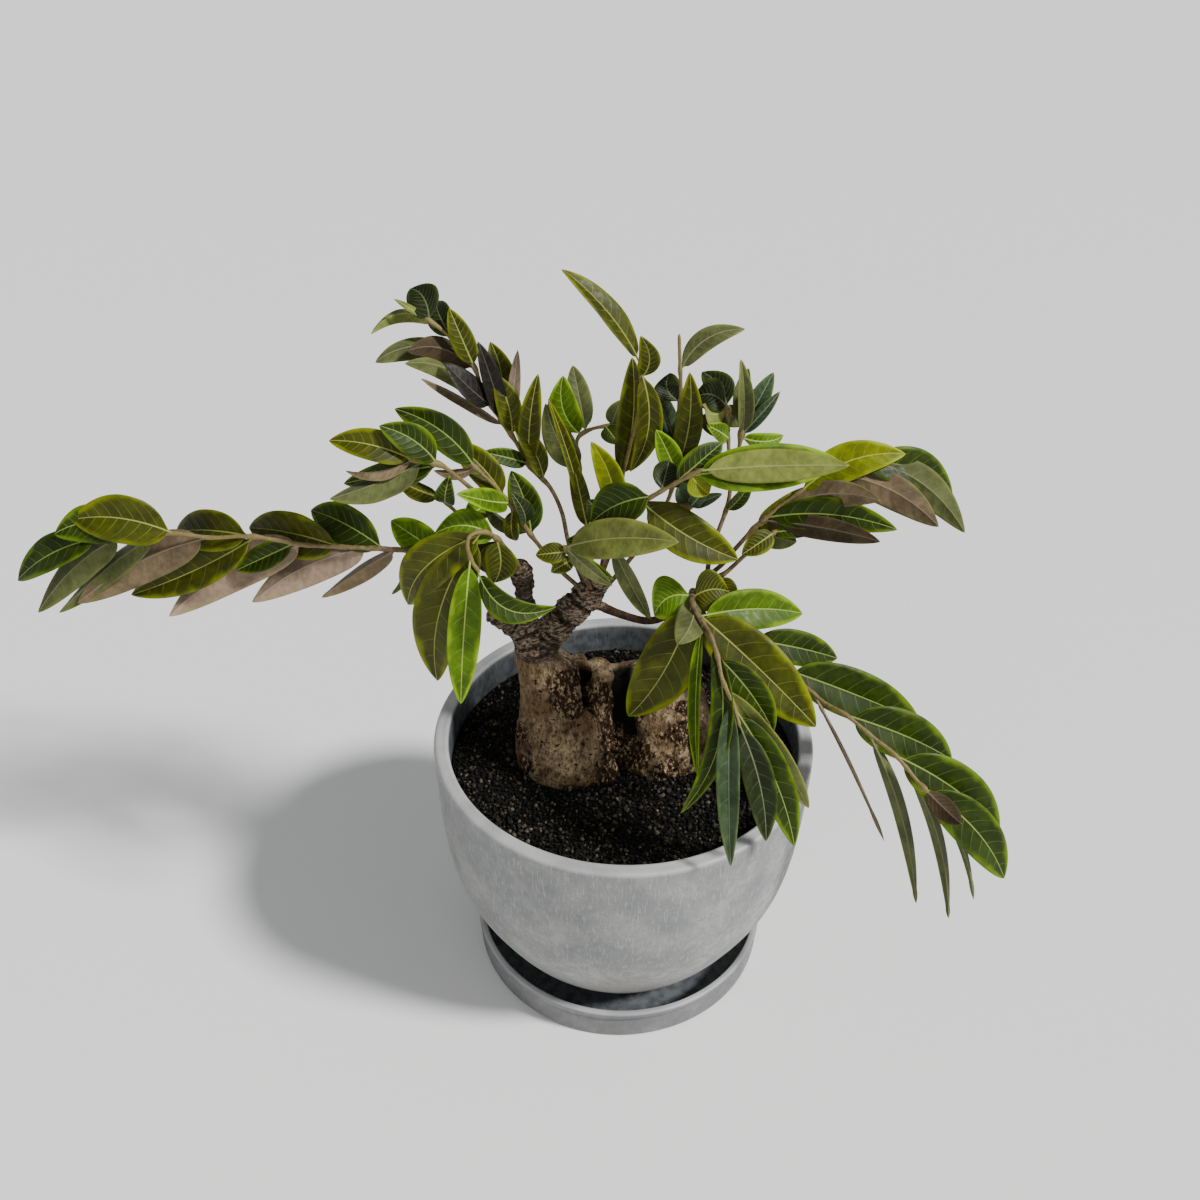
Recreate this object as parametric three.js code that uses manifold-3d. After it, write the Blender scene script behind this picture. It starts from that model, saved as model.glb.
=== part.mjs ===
// A phyllanthus mirabilis bonsai: a swollen, forked caudex in a round grey pot that stands on its saucer.
// Millimetres, +Z up. The origin is the centre of the saucer's underside, and the front faces -Y.
import * as THREE from "three";
import { mergeVertices } from "three/addons/utils/BufferGeometryUtils.js";
import Module from "manifold-3d";

const wasm = await Module();
wasm.setup();

// Driving dimensions
const gap = 0.3; // between pieces that rest on one another
const saucerRadius = 86.5;
const saucerHeight = 21;
const saucerWall = 3.8;
const saucerFloor = 5;
const potRadius = 105;
const potTop = 159;
const potFootRadius = 58;
const potWall = 8;
const potFloor = 8;
const drainRadius = 6;
const soilTop = 141;
const soilRadius = 95.6; // at its top
const soilRise = 2.5; // how unevenly it lies
const soilWaves = [17, 21, 11]; // its lengths across, from front to back and aslant
const bladeThickness = 0.72;
const midribThickness = 0.95;
const petioleThickness = 1.2;
const stemRadius = 1.5; // of a leafy stem where it leaves the wood
const stemTipRadius = 1.0;
const roundSides = 30; // of the turned pieces
const soilSides = 20;
const soilRings = 3;

const potBottom = saucerFloor + gap;

// Colours
const cement = { color: 0x9a9c9c, roughness: 0.55, metalness: 0 };
const darkCement = { color: 0x7f8384, roughness: 0.55, metalness: 0 };
const soilColour = { color: 0x161412, roughness: 0.95, metalness: 0 };
const barkColour = { color: 0x7d6648, roughness: 0.88, metalness: 0 };
const deepGreen = { color: 0x3d5219, roughness: 0.5, metalness: 0 };
const brightGreen = { color: 0x5f7d1c, roughness: 0.5, metalness: 0 };
const oliveGreen = { color: 0x51561a, roughness: 0.5, metalness: 0 };
const purpleGreen = { color: 0x4a4932, roughness: 0.52, metalness: 0 };

const vector = (point) => new THREE.Vector3(point[0], point[1], point[2]);

// A closed solid from a geometry that may hold doubled vertices.
function solidOf(geometry) {
  geometry.deleteAttribute("normal");
  geometry.deleteAttribute("uv");
  const merged = mergeVertices(geometry, 1e-3);
  return new wasm.Manifold(
    new wasm.Mesh({
      numProp: 3,
      vertProperties: new Float32Array(merged.attributes.position.array),
      triVerts: new Uint32Array(merged.index.array),
    }),
  );
}

function indexedSolid(points, triangles) {
  const geometry = new THREE.BufferGeometry();
  const numbers = points.flatMap((p) => [p.x, p.y, p.z]);
  geometry.setAttribute("position", new THREE.Float32BufferAttribute(numbers, 3));
  geometry.setIndex(triangles);
  return solidOf(geometry);
}

function joined(solids) {
  return solids.reduce((whole, next) => whole.add(next));
}

// The named mesh of a finished solid.
function node(name, solid, colour) {
  const made = solid.getMesh();
  const numbers = new Float32Array(made.vertProperties);
  const geometry = new THREE.BufferGeometry();
  geometry.setAttribute("position", new THREE.BufferAttribute(numbers, 3));
  geometry.setIndex(new THREE.BufferAttribute(new Uint32Array(made.triVerts), 1));
  const mesh = new THREE.Mesh(geometry, new THREE.MeshStandardMaterial(colour));
  mesh.name = name;
  return mesh;
}

// Turned pieces: pairs of radius and height, counter-clockwise, closed on the axis or on themselves.
function turned(profile, sides = roundSides) {
  const points = profile.map(([radius, height]) => new THREE.Vector2(radius, height));
  const geometry = new THREE.LatheGeometry(points, sides);
  geometry.rotateX(Math.PI / 2);
  return solidOf(geometry);
}

// A closed round body along a smooth line. Each row is x, y, z, its radius and, if it is oval, its
// radius towards Y. Both ends are rounded. With grow it comes out that much thicker all round.
function limb(rows, { sides = 8, perRow = 2, grow = 0 } = {}) {
  const line = new THREE.CatmullRomCurve3(rows.map(vector));
  const widths = rows.map((row) => new THREE.Vector3(row[3], row[4] ?? row[3], 0));
  const girth = new THREE.CatmullRomCurve3(widths);
  const steps = (rows.length - 1) * perRow;
  const rings = [];
  let across = new THREE.Vector3(0, 1, 0);
  for (let i = 0; i <= steps; i++) {
    const tangent = line.getTangent(i / steps);
    if (i === 0 && Math.abs(tangent.y) > 0.8) across = new THREE.Vector3(1, 0, 0);
    across = across.clone().addScaledVector(tangent, -across.dot(tangent)).normalize();
    const wide = girth.getPoint(i / steps);
    rings.push({ at: line.getPoint(i / steps), tangent, across, x: wide.x + grow, y: wide.y + grow });
  }
  const rounded = (ring, way) => {
    const out = ring.tangent.clone().multiplyScalar(way * (0.4 * Math.min(ring.x, ring.y) + grow));
    return { ...ring, at: ring.at.clone().add(out), x: ring.x * 0.62, y: ring.y * 0.62 };
  };
  const all = [rounded(rings[0], -1), ...rings, rounded(rings[steps], 1)];
  const points = [];
  for (const ring of all) {
    const up = new THREE.Vector3().crossVectors(ring.tangent, ring.across);
    for (let j = 0; j < sides; j++) {
      const angle = (2 * Math.PI * j) / sides;
      const spot = ring.at.clone().addScaledVector(ring.across, ring.y * Math.cos(angle));
      points.push(spot.addScaledVector(up, ring.x * Math.sin(angle)));
    }
  }
  points.push(all[0].at.clone(), all[all.length - 1].at.clone());
  const start = points.length - 2;
  const end = points.length - 1;
  const last = (all.length - 1) * sides;
  const triangles = [];
  for (let j = 0; j < sides; j++) {
    const k = (j + 1) % sides;
    triangles.push(start, k, j, end, last + j, last + k);
    for (let i = 0; i < all.length - 1; i++) {
      const low = i * sides;
      const high = low + sides;
      triangles.push(low + j, low + k, high + k, low + j, high + k, high + j);
    }
  }
  return indexedSolid(points, triangles);
}

// How wide a leaf is at a share of its length, against its widest place.
function leafWidth(share) {
  const widest = 0.42;
  if (share < widest) return Math.sqrt(1 - ((widest - share) / widest) ** 2.3);
  return Math.max(1 - ((share - widest) / (1 - widest)) ** 2, 0) ** 0.8;
}

// Where along its length a leaf has its cross-sections, before its tip: fewer on the small ones.
function bladeShares(long, stalk) {
  if (long > 99) return [0, stalk, 0.22, 0.5, 0.8];
  if (long > 56) return [0, stalk, 0.27, 0.65];
  if (long > 33) return [0, 0.3, 0.68];
  return [0, 0.45];
}

// A leaf: a thin closed blade on a short stalk, from base by reach to its tip. Its upper face looks to
// the front or, if it is turned, away from it. roll turns it about its length and fold lifts its two
// halves, in degrees. bow arches it and sweep bends it sideways, in mm.
function blade(base, { reach, wide, away = false, roll = 0, bow = 2, fold = 18, sweep = 0 }) {
  const long = vector(reach).length();
  const axis = vector(reach).normalize();
  const top = new THREE.Vector3(0, away ? 0.8 : -0.8, away ? -0.6 : 0.6);
  top.addScaledVector(axis, -top.dot(axis)).normalize();
  top.applyAxisAngle(axis, THREE.MathUtils.degToRad(roll));
  const side = new THREE.Vector3().crossVectors(axis, top);
  const stalk = 0.07;
  const shares = bladeShares(long, stalk);
  const points = [];
  for (const share of shares) {
    const arch = 4 * share * (1 - share);
    const middle = base.clone().addScaledVector(vector(reach), share);
    middle.addScaledVector(top, bow * arch).addScaledVector(side, sweep * arch);
    const onStalk = share <= stalk;
    const half = onStalk ? 0.55 : Math.max((wide / 2) * leafWidth((share - stalk) / (1 - stalk)), 0.5);
    const opened = THREE.MathUtils.clamp((half - 0.5) / 1.5, 0, 1);
    const angle = THREE.MathUtils.degToRad(fold) * opened;
    const edge = (onStalk ? petioleThickness : bladeThickness) / 2;
    const spine = (onStalk ? petioleThickness : midribThickness) / 2 / Math.cos(angle);
    const place = (w, face) => {
      const spot = middle.clone().addScaledVector(side, w * half * Math.cos(angle));
      spot.addScaledVector(top, Math.abs(w) * half * Math.sin(angle));
      const deep = w === 0 ? spine : edge;
      spot.addScaledVector(top, face * deep * (w === 0 ? 1 : Math.cos(angle)));
      return spot.addScaledVector(side, -face * deep * w * Math.sin(angle));
    };
    points.push(place(-1, 1), place(0, 1), place(1, 1), place(1, -1), place(0, -1), place(-1, -1));
  }
  const triangles = [0, 5, 1, 1, 5, 4, 1, 4, 2, 2, 4, 3];
  const end = points.length;
  for (let low = 0; low < end - 6; low += 6) {
    const high = low + 6;
    triangles.push(low, high + 1, high, low, low + 1, high + 1); // left half, upper face
    triangles.push(low + 5, high + 5, high + 4, low + 5, high + 4, low + 4); // and its underside
    triangles.push(low + 2, high + 1, low + 1, low + 2, high + 2, high + 1); // right half
    triangles.push(low + 3, low + 4, high + 4, low + 3, high + 4, high + 3);
    triangles.push(low, high + 5, low + 5, low, high, high + 5); // left edge
    triangles.push(low + 3, high + 2, low + 2, low + 3, high + 3, high + 2); // right edge
  }
  const last = end - 6;
  const tip = base.clone().add(vector(reach));
  points.push(tip.clone().addScaledVector(top, bladeThickness / 2));
  points.push(tip.clone().addScaledVector(top, -bladeThickness / 2));
  triangles.push(last, last + 1, end, last + 2, end, last + 1);
  triangles.push(last + 5, end + 1, last + 4, last + 3, last + 4, end + 1);
  triangles.push(last, end + 1, last + 5, last, end, end + 1);
  triangles.push(last + 3, end, last + 2, last + 3, end + 1, end);
  return indexedSolid(points, triangles);
}

// One leaf's place on its stem (a share of its length), its reach from there to its tip and its width.
const leaf = (at, reach, wide, more = {}) => ({ at, reach, wide, ...more });
const turnedLeaf = (at, reach, wide, more = {}) => {
  return { at, reach, wide, away: true, roll: 10, fold: 30, ...more };
};

// A leafy shoot: a slim stem through its points, with its leaves sunk into it.
function shoot(points, leaves) {
  const line = new THREE.CatmullRomCurve3(points.map(vector));
  const radius = (share) => stemRadius + (stemTipRadius - stemRadius) * share;
  const rows = points.map((point, i) => [...point, radius(i / (points.length - 1))]);
  const blades = leaves.map((one) => blade(line.getPointAt(one.at), one));
  return joined([limb(rows, { sides: 5, perRow: 1 }), ...blades]);
}

// Pot and saucer

function saucer() {
  const inside = saucerRadius - saucerWall;
  const lip = saucerHeight - 1.2;
  return turned([
    [0, 0],
    [saucerRadius - 3, 0],
    [saucerRadius - 0.8, 2.4],
    [saucerRadius - 0.8, saucerHeight - 5.5],
    [saucerRadius, saucerHeight - 4],
    [saucerRadius, lip],
    [saucerRadius - 1, saucerHeight],
    [inside + 1, saucerHeight],
    [inside, lip],
    [inside - 0.8, saucerFloor + 3],
    [inside - 3.5, saucerFloor],
    [0, saucerFloor],
  ]);
}

// The pot's walls: pairs of radius and height, outside upwards and inside downwards.
const potOutside = [
  [potFootRadius, potBottom],
  [60.5, potBottom + 1.2],
  [74.5, 25],
  [86, 45],
  [97, 70],
  [102, 95],
  [104.2, 125],
  [potRadius, potTop - 2.5],
];
const potInside = [
  [97, potTop - 1.6],
  [95.6, 120],
  [88.2, 70],
  [77.5, 45],
  [66, 26],
  [54, potBottom + potFloor],
];

function pot() {
  const rim = [
    [potRadius - 0.9, potTop - 0.7],
    [potRadius - 2.6, potTop],
    [potRadius - potWall + 1.4, potTop],
  ];
  return turned([
    [drainRadius, potBottom],
    ...potOutside,
    ...rim,
    ...potInside,
    [drainRadius, potBottom + potFloor],
    [drainRadius, potBottom],
  ]);
}

// The soil fills the pot. Its top rises and falls a little, and the caudex stands in a plain hole.
function soil(wood) {
  const floor = potBottom + potFloor + gap;
  const wall = potInside.slice(1).reverse().map(([radius, height]) => [radius - 2 * gap, height + gap]);
  const profile = [[0, floor], ...wall, [soilRadius, soilTop]];
  for (let i = soilRings - 1; i > 0; i--) profile.push([(soilRadius * i) / soilRings, soilTop]);
  profile.push([0, soilTop]);
  profile[1][1] = floor;
  const points = profile.map(([radius, height]) => new THREE.Vector2(radius, height));
  const geometry = new THREE.LatheGeometry(points, soilSides);
  geometry.rotateX(Math.PI / 2);
  const place = geometry.attributes.position;
  const [across, deep, aslant] = soilWaves;
  for (let i = 0; i < place.count; i++) {
    if (place.getZ(i) < soilTop - 1) continue;
    const x = place.getX(i);
    const y = place.getY(i);
    const inner = 1 - Math.hypot(x, y) / soilRadius; // 0 at the edge, which stays level
    const wave = Math.sin(x / across) * Math.cos(y / deep) + 0.5 * Math.sin((x + y) / aslant);
    place.setZ(i, soilTop + soilRise * wave * Math.min(inner * 4, 0.6));
  }
  return solidOf(geometry).subtract(wood);
}

// Caudex with its two trunks, the cut stub and the low branch

const leftLobe = [
  [-30, -2, 109, 13, 12],
  [-31, -2, 122, 24, 23],
  [-32, -1, 141, 28.5, 26.5],
  [-33, 1, 160, 26.5, 25],
  [-36, 3, 178, 22.5, 21],
  [-41, 4, 195, 17.5, 16.5],
  [-47, 5, 208, 13, 12],
  [-48, 5, 219, 11, 10.5],
];
const toe = [
  [-26, 0, 150, 12],
  [-14, -11, 142, 11],
  [-8, -14, 128, 8],
];
const middleColumn = [
  [-11, 8, 112, 10, 12],
  [-11, 8, 141, 16, 19],
  [-12, 9, 165, 15, 16],
  [-13, 10, 184, 14, 14],
  [-13, 10, 194, 11, 11],
];
const upperSaddle = [
  [-15, 12, 176, 17],
  [3, 14, 178, 15.5],
  [24, 12, 174, 19],
];
const lowerSaddle = [
  [-12, 10, 140, 19],
  [4, 11, 140, 18],
  [22, 8, 140, 22],
];
const knob = [
  [-24, 11, 182, 7],
  [-25, 12, 194, 5.5],
  [-25, 13, 200, 4.5],
];
const rightLobe = [
  [22, 6, 109, 13, 12],
  [22, 6, 122, 24, 23],
  [22, 6, 141, 28, 27],
  [22, 7, 160, 27, 25],
  [22, 8, 178, 24, 21],
  [22, 9, 190, 17, 15],
];
const leftTrunk = [
  [-48, 5, 212, 10],
  [-50, 5, 221, 8],
  [-52, 5, 231, 6.3],
  [-53, 5, 248, 5.5],
  [-54, 5, 262, 6.2],
  [-55, 4, 267, 5.6],
];
const stub = [
  [-50, 4, 216, 8],
  [-55, 3.5, 226, 7],
  [-62, 2, 233, 6],
  [-70, 0.5, 239.5, 4.8],
];
const rightTrunk = [
  [-46, 5, 208, 10],
  [-41, 6.5, 221, 9.2],
  [-34, 8, 230, 9],
  [-26, 10, 238, 8.5],
  [-19, 12, 246, 8],
  [-14, 12, 256, 6.4],
];
const lowBranch = [
  [-23, 11, 240, 3.4],
  [-13, 10, 237.5, 3],
  [-4, 5, 237, 2.6],
  [11, -5, 240, 2.4],
  [22, -12, 250, 2.4],
  [30, -17, 261, 2.9],
  [34, -16, 266, 3.5],
];

function caudex(grow = 0) {
  const grown = (sides, ...limbs) => limbs.map((rows) => limb(rows, { sides, perRow: 1, grow }));
  const lobes = grown(12, leftLobe, middleColumn, rightLobe);
  const joints = grown(8, upperSaddle, lowerSaddle, leftTrunk, rightTrunk);
  const small = grown(8, toe, knob, stub);
  return joined([...lobes, ...joints, ...small, ...grown(6, lowBranch)]);
}

// Leafy sprays. Every stem starts inside the wood that carries it and is cut clear of it later.

const longLeft = () => joined([
  shoot(
    [[-54, 4, 263], [-79, 0, 274], [-109, -3, 281], [-130, -4, 283], [-160, -6, 286], [-185, -8, 292],
      [-205, -8, 291], [-221, -9, 294], [-238, -10, 293], [-257, -12, 293]],
    [
      leaf(1, [-49, 4, -29], 19, { roll: 10, bow: 3, sweep: 3 }),
      leaf(0.94, [-35, 0, 1], 20, { roll: -10, bow: 0, sweep: 6 }),
      leaf(0.83, [-49, 2, 6], 25, { roll: -15, bow: 4, fold: 14, sweep: 5 }),
      leaf(0.65, [-46, 24, -14], 22, { roll: -5, bow: 3, sweep: 2 }),
      leaf(0.44, [-52, 24, -5], 25, { roll: -20, bow: 3, sweep: 3 }),
      leaf(0.34, [-40, 24, 7], 22, { roll: -15, bow: 3, sweep: 3 }),
      leaf(0.2, [-27, 14, 11], 18, { roll: -5 }),
      turnedLeaf(0.95, [-52, -1, -46], 19, { fold: 20, sweep: -6 }),
      turnedLeaf(0.87, [-58, -2, -47], 17, { roll: 30, fold: 24, sweep: -5 }),
      turnedLeaf(0.75, [-72, -4, -38], 23, { roll: 0, fold: 18, sweep: -5 }),
      leaf(0.64, [-72, 8, -42], 21, { bow: -2, fold: 14, sweep: -2 }),
      turnedLeaf(0.52, [-75, -4, -42], 24, { roll: 5, bow: 4, fold: 18, sweep: -8 }),
      leaf(0.55, [-32, 2, -18], 14, { bow: 0, fold: 20 }),
      turnedLeaf(0.37, [-63, -4, -31], 21, { fold: 18, sweep: -6 }),
      turnedLeaf(0.31, [-42, 4, -33], 13, { roll: 20, fold: 40, sweep: -2 }),
      turnedLeaf(0.28, [-12, 4, -30], 9, { roll: 40, fold: 45 }),
    ],
  ),
  shoot(
    [[-62, 3, 267], [-73, 6, 282], [-84, 4, 298], [-92, 2, 309]],
    [
      turnedLeaf(1, [-20, -2, 11], 11, { roll: 20, fold: 26 }),
      leaf(0.92, [3, -4, 18], 11, { bow: 5 }),
      leaf(0.66, [13, 26, -5], 13),
      leaf(0.52, [-6, -4, 12], 12),
    ],
  ),
]);

const hangLeft = () => shoot(
  [[-54, 2, 265], [-57, -4, 278], [-61, -9, 288], [-64, -14, 296], [-70, -20, 304], [-76, -24, 304],
    [-77, -26, 300], [-75, -27, 291], [-73, -27, 287]],
  [
    leaf(0.66, [-27, -1, -92], 27, { bow: 5, fold: 14, sweep: 8 }),
    leaf(0.9, [-8, -12, -82], 17, { roll: -10, bow: 3, fold: 16, sweep: 1 }),
    leaf(0.62, [-42, 6, -48], 24, { roll: -10, bow: 8, fold: 14, sweep: 8 }),
    leaf(0.5, [-30, 0, 2], 17, { bow: 4, fold: 14, sweep: 5 }),
    leaf(0.5, [-2, -2, -25], 17, { fold: 14, sweep: -3 }),
    leaf(0.46, [-3, 4, -25], 15, { roll: 20, bow: 3, fold: 24, sweep: 8 }),
    leaf(1, [38, -8, -16], 14, { bow: 5, sweep: 11 }),
  ],
);

const midLeft = () => joined([
  shoot(
    [[-21, 13, 244], [-36, 12, 261], [-45, 10, 276], [-52, 8, 289], [-58, 6, 302], [-66, 4, 315],
      [-75, 2, 327]],
    [
      leaf(0.76, [-25, 9, 26], 16, { sweep: 2 }),
      leaf(0.99, [-37, 6, 28], 17, { roll: -10, bow: 3, sweep: 5 }),
      turnedLeaf(0.99, [-20, 0, -2], 6, { fold: 22, sweep: 2 }),
      leaf(0.72, [-22, -26, 21], 13, { roll: 20, sweep: -2 }),
      turnedLeaf(0.5, [-21, -3, 20], 11, { roll: 35, bow: 5, fold: 40 }),
      leaf(0.56, [-6, -1, 20], 11, { roll: 30, bow: 5, fold: 30 }),
      leaf(0.48, [-10, 13, 30], 17, { sweep: 2 }),
      leaf(0.68, [1, -2, -18], 9, { roll: 15, bow: 5 }),
    ],
  ),
  shoot(
    [[-59, 6, 304], [-68, 2, 308], [-74, -1, 314], [-82, -4, 324], [-90, -7, 333], [-102, -10, 337]],
    [
      leaf(0.8, [-25, -2, 21], 16, { sweep: 3 }),
      leaf(1, [-38, 0, 10], 16, { roll: 5, bow: 3, sweep: 2 }),
      turnedLeaf(1, [-31, -4, -4], 11, { roll: 55, sweep: 2 }),
      turnedLeaf(0.81, [-39, 7, -17], 15, { roll: 35, fold: 35, sweep: -2 }),
      turnedLeaf(0.91, [-42, -18, -10], 19, { roll: 35, fold: 24 }),
      leaf(0.77, [-49, 10, -17], 13),
    ],
  ),
]);

const upperLeft = () => shoot(
  [[-21, 16, 244], [-30, 22, 268], [-34, 24, 288], [-40, 25, 302], [-49, 26, 312], [-57, 28, 327],
    [-65, 30, 340], [-71, 31, 349], [-76, 33, 365], [-87, 35, 379], [-97, 36, 387]],
  [
    leaf(0.99, [-10, 12, 11], 17, { roll: -10, bow: 4, fold: 14, sweep: 4 }),
    leaf(1, [-15, 2, 9], 3.4, { bow: 1, fold: 24 }),
    leaf(0.91, [-9, 20, 10], 14, { roll: -15, bow: 4 }),
    leaf(0.81, [-11, 6, 27], 12, { bow: 3 }),
    turnedLeaf(0.97, [-30, -6, -2], 9, { roll: 20, bow: 3, sweep: -11 }),
    turnedLeaf(0.86, [-40, -16, 2], 14, { roll: 20, bow: 4, fold: 24, sweep: -9 }),
    turnedLeaf(0.8, [-30, -12, 15], 15, { roll: 0, bow: 3, fold: 34, sweep: -6 }),
    leaf(0.68, [-21, -4, 25], 14, { roll: 30, bow: 3, fold: 14, sweep: -3 }),
    leaf(0.62, [-11, 6, 40], 11, { roll: 20 }),
    leaf(0.58, [4, 14, 38], 7, { fold: 20 }),
    leaf(0.63, [-6, 26, 29], 14, { roll: 10, sweep: 3 }),
    leaf(0.57, [-8, 6, 31], 13, { roll: 10, sweep: 2 }),
    turnedLeaf(0.6, [-39, -8, 30], 8, { roll: 40, fold: 34, sweep: -4 }),
    turnedLeaf(0.66, [-40, -14, 32], 13, { roll: 20, sweep: -9 }),
    leaf(0.4, [-14, 0, 31], 12, { roll: 20, sweep: 2 }),
    leaf(0.47, [-22, -8, 11], 10, { roll: 5, fold: 22 }),
    leaf(0.46, [5, 2, 50], 12, { roll: 5, fold: 22, sweep: -2 }),
  ],
);

const backCentre = () => shoot(
  [[-18, 16, 244], [-19, 28, 264], [-24, 35, 288], [-25, 40, 306], [-26, 44, 319], [-20, 46, 323],
    [-7, 48, 325]],
  [
    leaf(0.82, [-9, 6, 30], 17, { sweep: -5 }),
    leaf(0.85, [-7, 18, 28], 13),
    leaf(0.64, [-17, 0, 37], 16, { sweep: -3 }),
    leaf(0.4, [-17, -14, 74], 9, { roll: 30, fold: 30 }),
    leaf(0.32, [-8, -4, 46], 10),
    leaf(0.98, [5, 3, 13], 10),
    leaf(0.95, [7, -8, -6], 11),
  ],
);

const tallCentre = () => shoot(
  [[-15, 15, 246], [-11, 20, 270], [-7, 22, 290], [-4, 23, 306], [0, 24, 326], [3, 25, 340],
    [5, 26, 356], [4, 26, 370]],
  [
    leaf(1, [-37, 8, 43], 15, { roll: 35, bow: 4, sweep: 1 }),
    leaf(0.97, [-4, -8, -51], 14, { roll: -10, bow: 4, fold: 22, sweep: -6 }),
    leaf(0.94, [-1, -5, 24], 11, { bow: 1, sweep: 4 }),
    leaf(0.5, [4, 6, 64], 17, { roll: 5, bow: 0, sweep: 3 }),
    leaf(0.36, [-12, -8, 44], 14, { sweep: 3 }),
  ],
);

const uprightRight = () => shoot(
  [[-13, 15, 243], [7, 20, 270], [20, 22, 296], [24, 24, 320], [23, 25, 338], [24, 26, 355],
    [23, 26, 369], [22, 26, 383]],
  [
    leaf(0.54, [4, -2, 54], 14, { sweep: 3 }),
    leaf(0.89, [30, 6, 19], 11, { roll: 10, bow: 3, sweep: -6 }),
    leaf(0.61, [-12, 6, 32], 12, { roll: 20, bow: -1, fold: 26 }),
    leaf(0.78, [-5, 9, 11], 15, { sweep: -4 }),
    leaf(0.53, [-11, -8, 28], 13),
    leaf(0.47, [13, -6, 24], 13, { roll: 15 }),
  ],
);

const foreRight = () => joined([
  shoot(
    [[-14, 11, 254], [-8, -2, 285], [-6, -8, 304], [5, -14, 317], [18, -18, 329], [31, -22, 340]],
    [
      turnedLeaf(1, [67, -6, 7], 16, { bow: 0, fold: 14, sweep: 1 }),
      leaf(0.95, [71, 14, 0], 23, { bow: 4 }),
      leaf(0.87, [22, 14, 14], 14),
      leaf(0.79, [4, 16, 7], 13),
      leaf(0.74, [-29, 8, -21], 22, { sweep: 3 }),
      leaf(0.95, [9, -2, -9], 13, { bow: -1 }),
      leaf(0.68, [46, -12, -24], 22, { bow: 3, fold: 14, sweep: 3 }),
      leaf(0.43, [-13, 6, 13], 14),
      leaf(0.31, [20, -10, -38], 11, { roll: 20, fold: 26 }),
      leaf(0.26, [-22, -2, 8], 13, { roll: 20, fold: 24 }),
    ],
  ),
  shoot(
    [[5, -14, 317], [18, -11, 315], [29, -10, 313]],
    [
      leaf(1, [14, -6, 11], 6, { bow: 1 }),
      leaf(1, [9, -4, 16], 7, { bow: 4 }),
      leaf(1, [-1, 4, 17], 11, { bow: -2 }),
      leaf(1, [-6, 14, 2], 9, { bow: -2 }),
    ],
  ),
]);

const hangCentre = () => shoot(
  [[-18, 9, 249], [-21, 1, 261], [-25, -6, 275], [-31, -12, 290]],
  [
    leaf(1, [23, -8, -17], 9, { roll: 20, fold: 24 }),
    leaf(1, [53, -27, 22], 20, { bow: 3, fold: 14, sweep: -3 }),
    leaf(0.92, [-16, -2, -1], 11),
    leaf(0.78, [-11, -6, -4], 9),
    leaf(0.9, [22, -4, -13], 9, { roll: 20, fold: 24 }),
  ],
);

const rightSpray = () => joined([
  shoot(
    [[34, -15, 267], [39, -10, 271], [47, -6, 277], [53, -3, 284], [64, 0, 297], [75, 2, 307], [87, 4, 316],
      [97, 5, 322], [115, 6, 329]],
    [
      leaf(0.66, [50, 6, 19], 19, { bow: 4, fold: 14, sweep: -6 }),
      leaf(0.95, [52, 12, -23], 20, { bow: 5, fold: 14, sweep: -6 }),
      turnedLeaf(1, [49, -12, -32], 18, { bow: 4, fold: 20, sweep: 7 }),
      turnedLeaf(0.84, [47, -26, -13], 18, { roll: 0, bow: 4, fold: 16, sweep: 6 }),
      turnedLeaf(0.55, [43, -22, 18], 14, { roll: 0, bow: 3, fold: 14, sweep: 5 }),
      leaf(0.47, [60, -20, 7], 17, { bow: 4, fold: 14, sweep: -4 }),
      turnedLeaf(0.45, [49, -40, 15], 12, { roll: 0, bow: 3, fold: 16, sweep: 2 }),
      leaf(0.4, [28, 12, 17], 14, { bow: 3, sweep: 2 }),
      turnedLeaf(0.39, [20, -12, 1], 13, { roll: 0, fold: 18 }),
    ],
  ),
  shoot(
    [[38, -11, 270], [46, -12, 274], [57, -9, 284], [66, -7, 292], [71, -6, 296]],
    [
      leaf(1, [-16, -8, -8], 12),
      leaf(1, [19, -2, 2], 9, { roll: -15 }),
      leaf(0.2, [7, -8, -11], 10),
    ],
  ),
  shoot(
    [[39, -10, 271], [41, 0, 276], [45, 10, 284], [50, 18, 297], [51, 22, 309], [49, 26, 326],
      [47, 28, 346]],
    [
      leaf(0.41, [11, -4, 20], 9, { roll: 30, fold: 22 }),
      leaf(1, [-12, 14, 12], 15, { bow: 0, sweep: 3 }),
      leaf(1, [-17, 4, 2], 17, { bow: 3, sweep: 4 }),
      turnedLeaf(0.99, [-12, -12, 7], 14, { bow: 3, fold: 20, sweep: 2 }),
      turnedLeaf(0.96, [-14, -6, -2], 15, { roll: 20, bow: 3, fold: 22 }),
      turnedLeaf(0.97, [16, 8, -9], 12, { roll: 5, bow: 6, fold: 22 }),
      leaf(0.82, [-12, -10, 13], 10),
    ],
  ),
  shoot(
    [[51, 21, 306], [54, 26, 321], [55, 28, 330], [56, 30, 338]],
    [
      leaf(0.8, [-3, 2, 39], 11, { roll: 10, bow: 5, fold: 40 }),
      leaf(0.87, [4, 28, 19], 11, { roll: -30, fold: 34 }),
      leaf(0.84, [14, 8, 28], 11),
      leaf(0.78, [17, 0, 24], 7, { roll: 10 }),
      leaf(0.74, [22, 6, -2], 9, { bow: 3, sweep: 3 }),
    ],
  ),
]);

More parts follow.
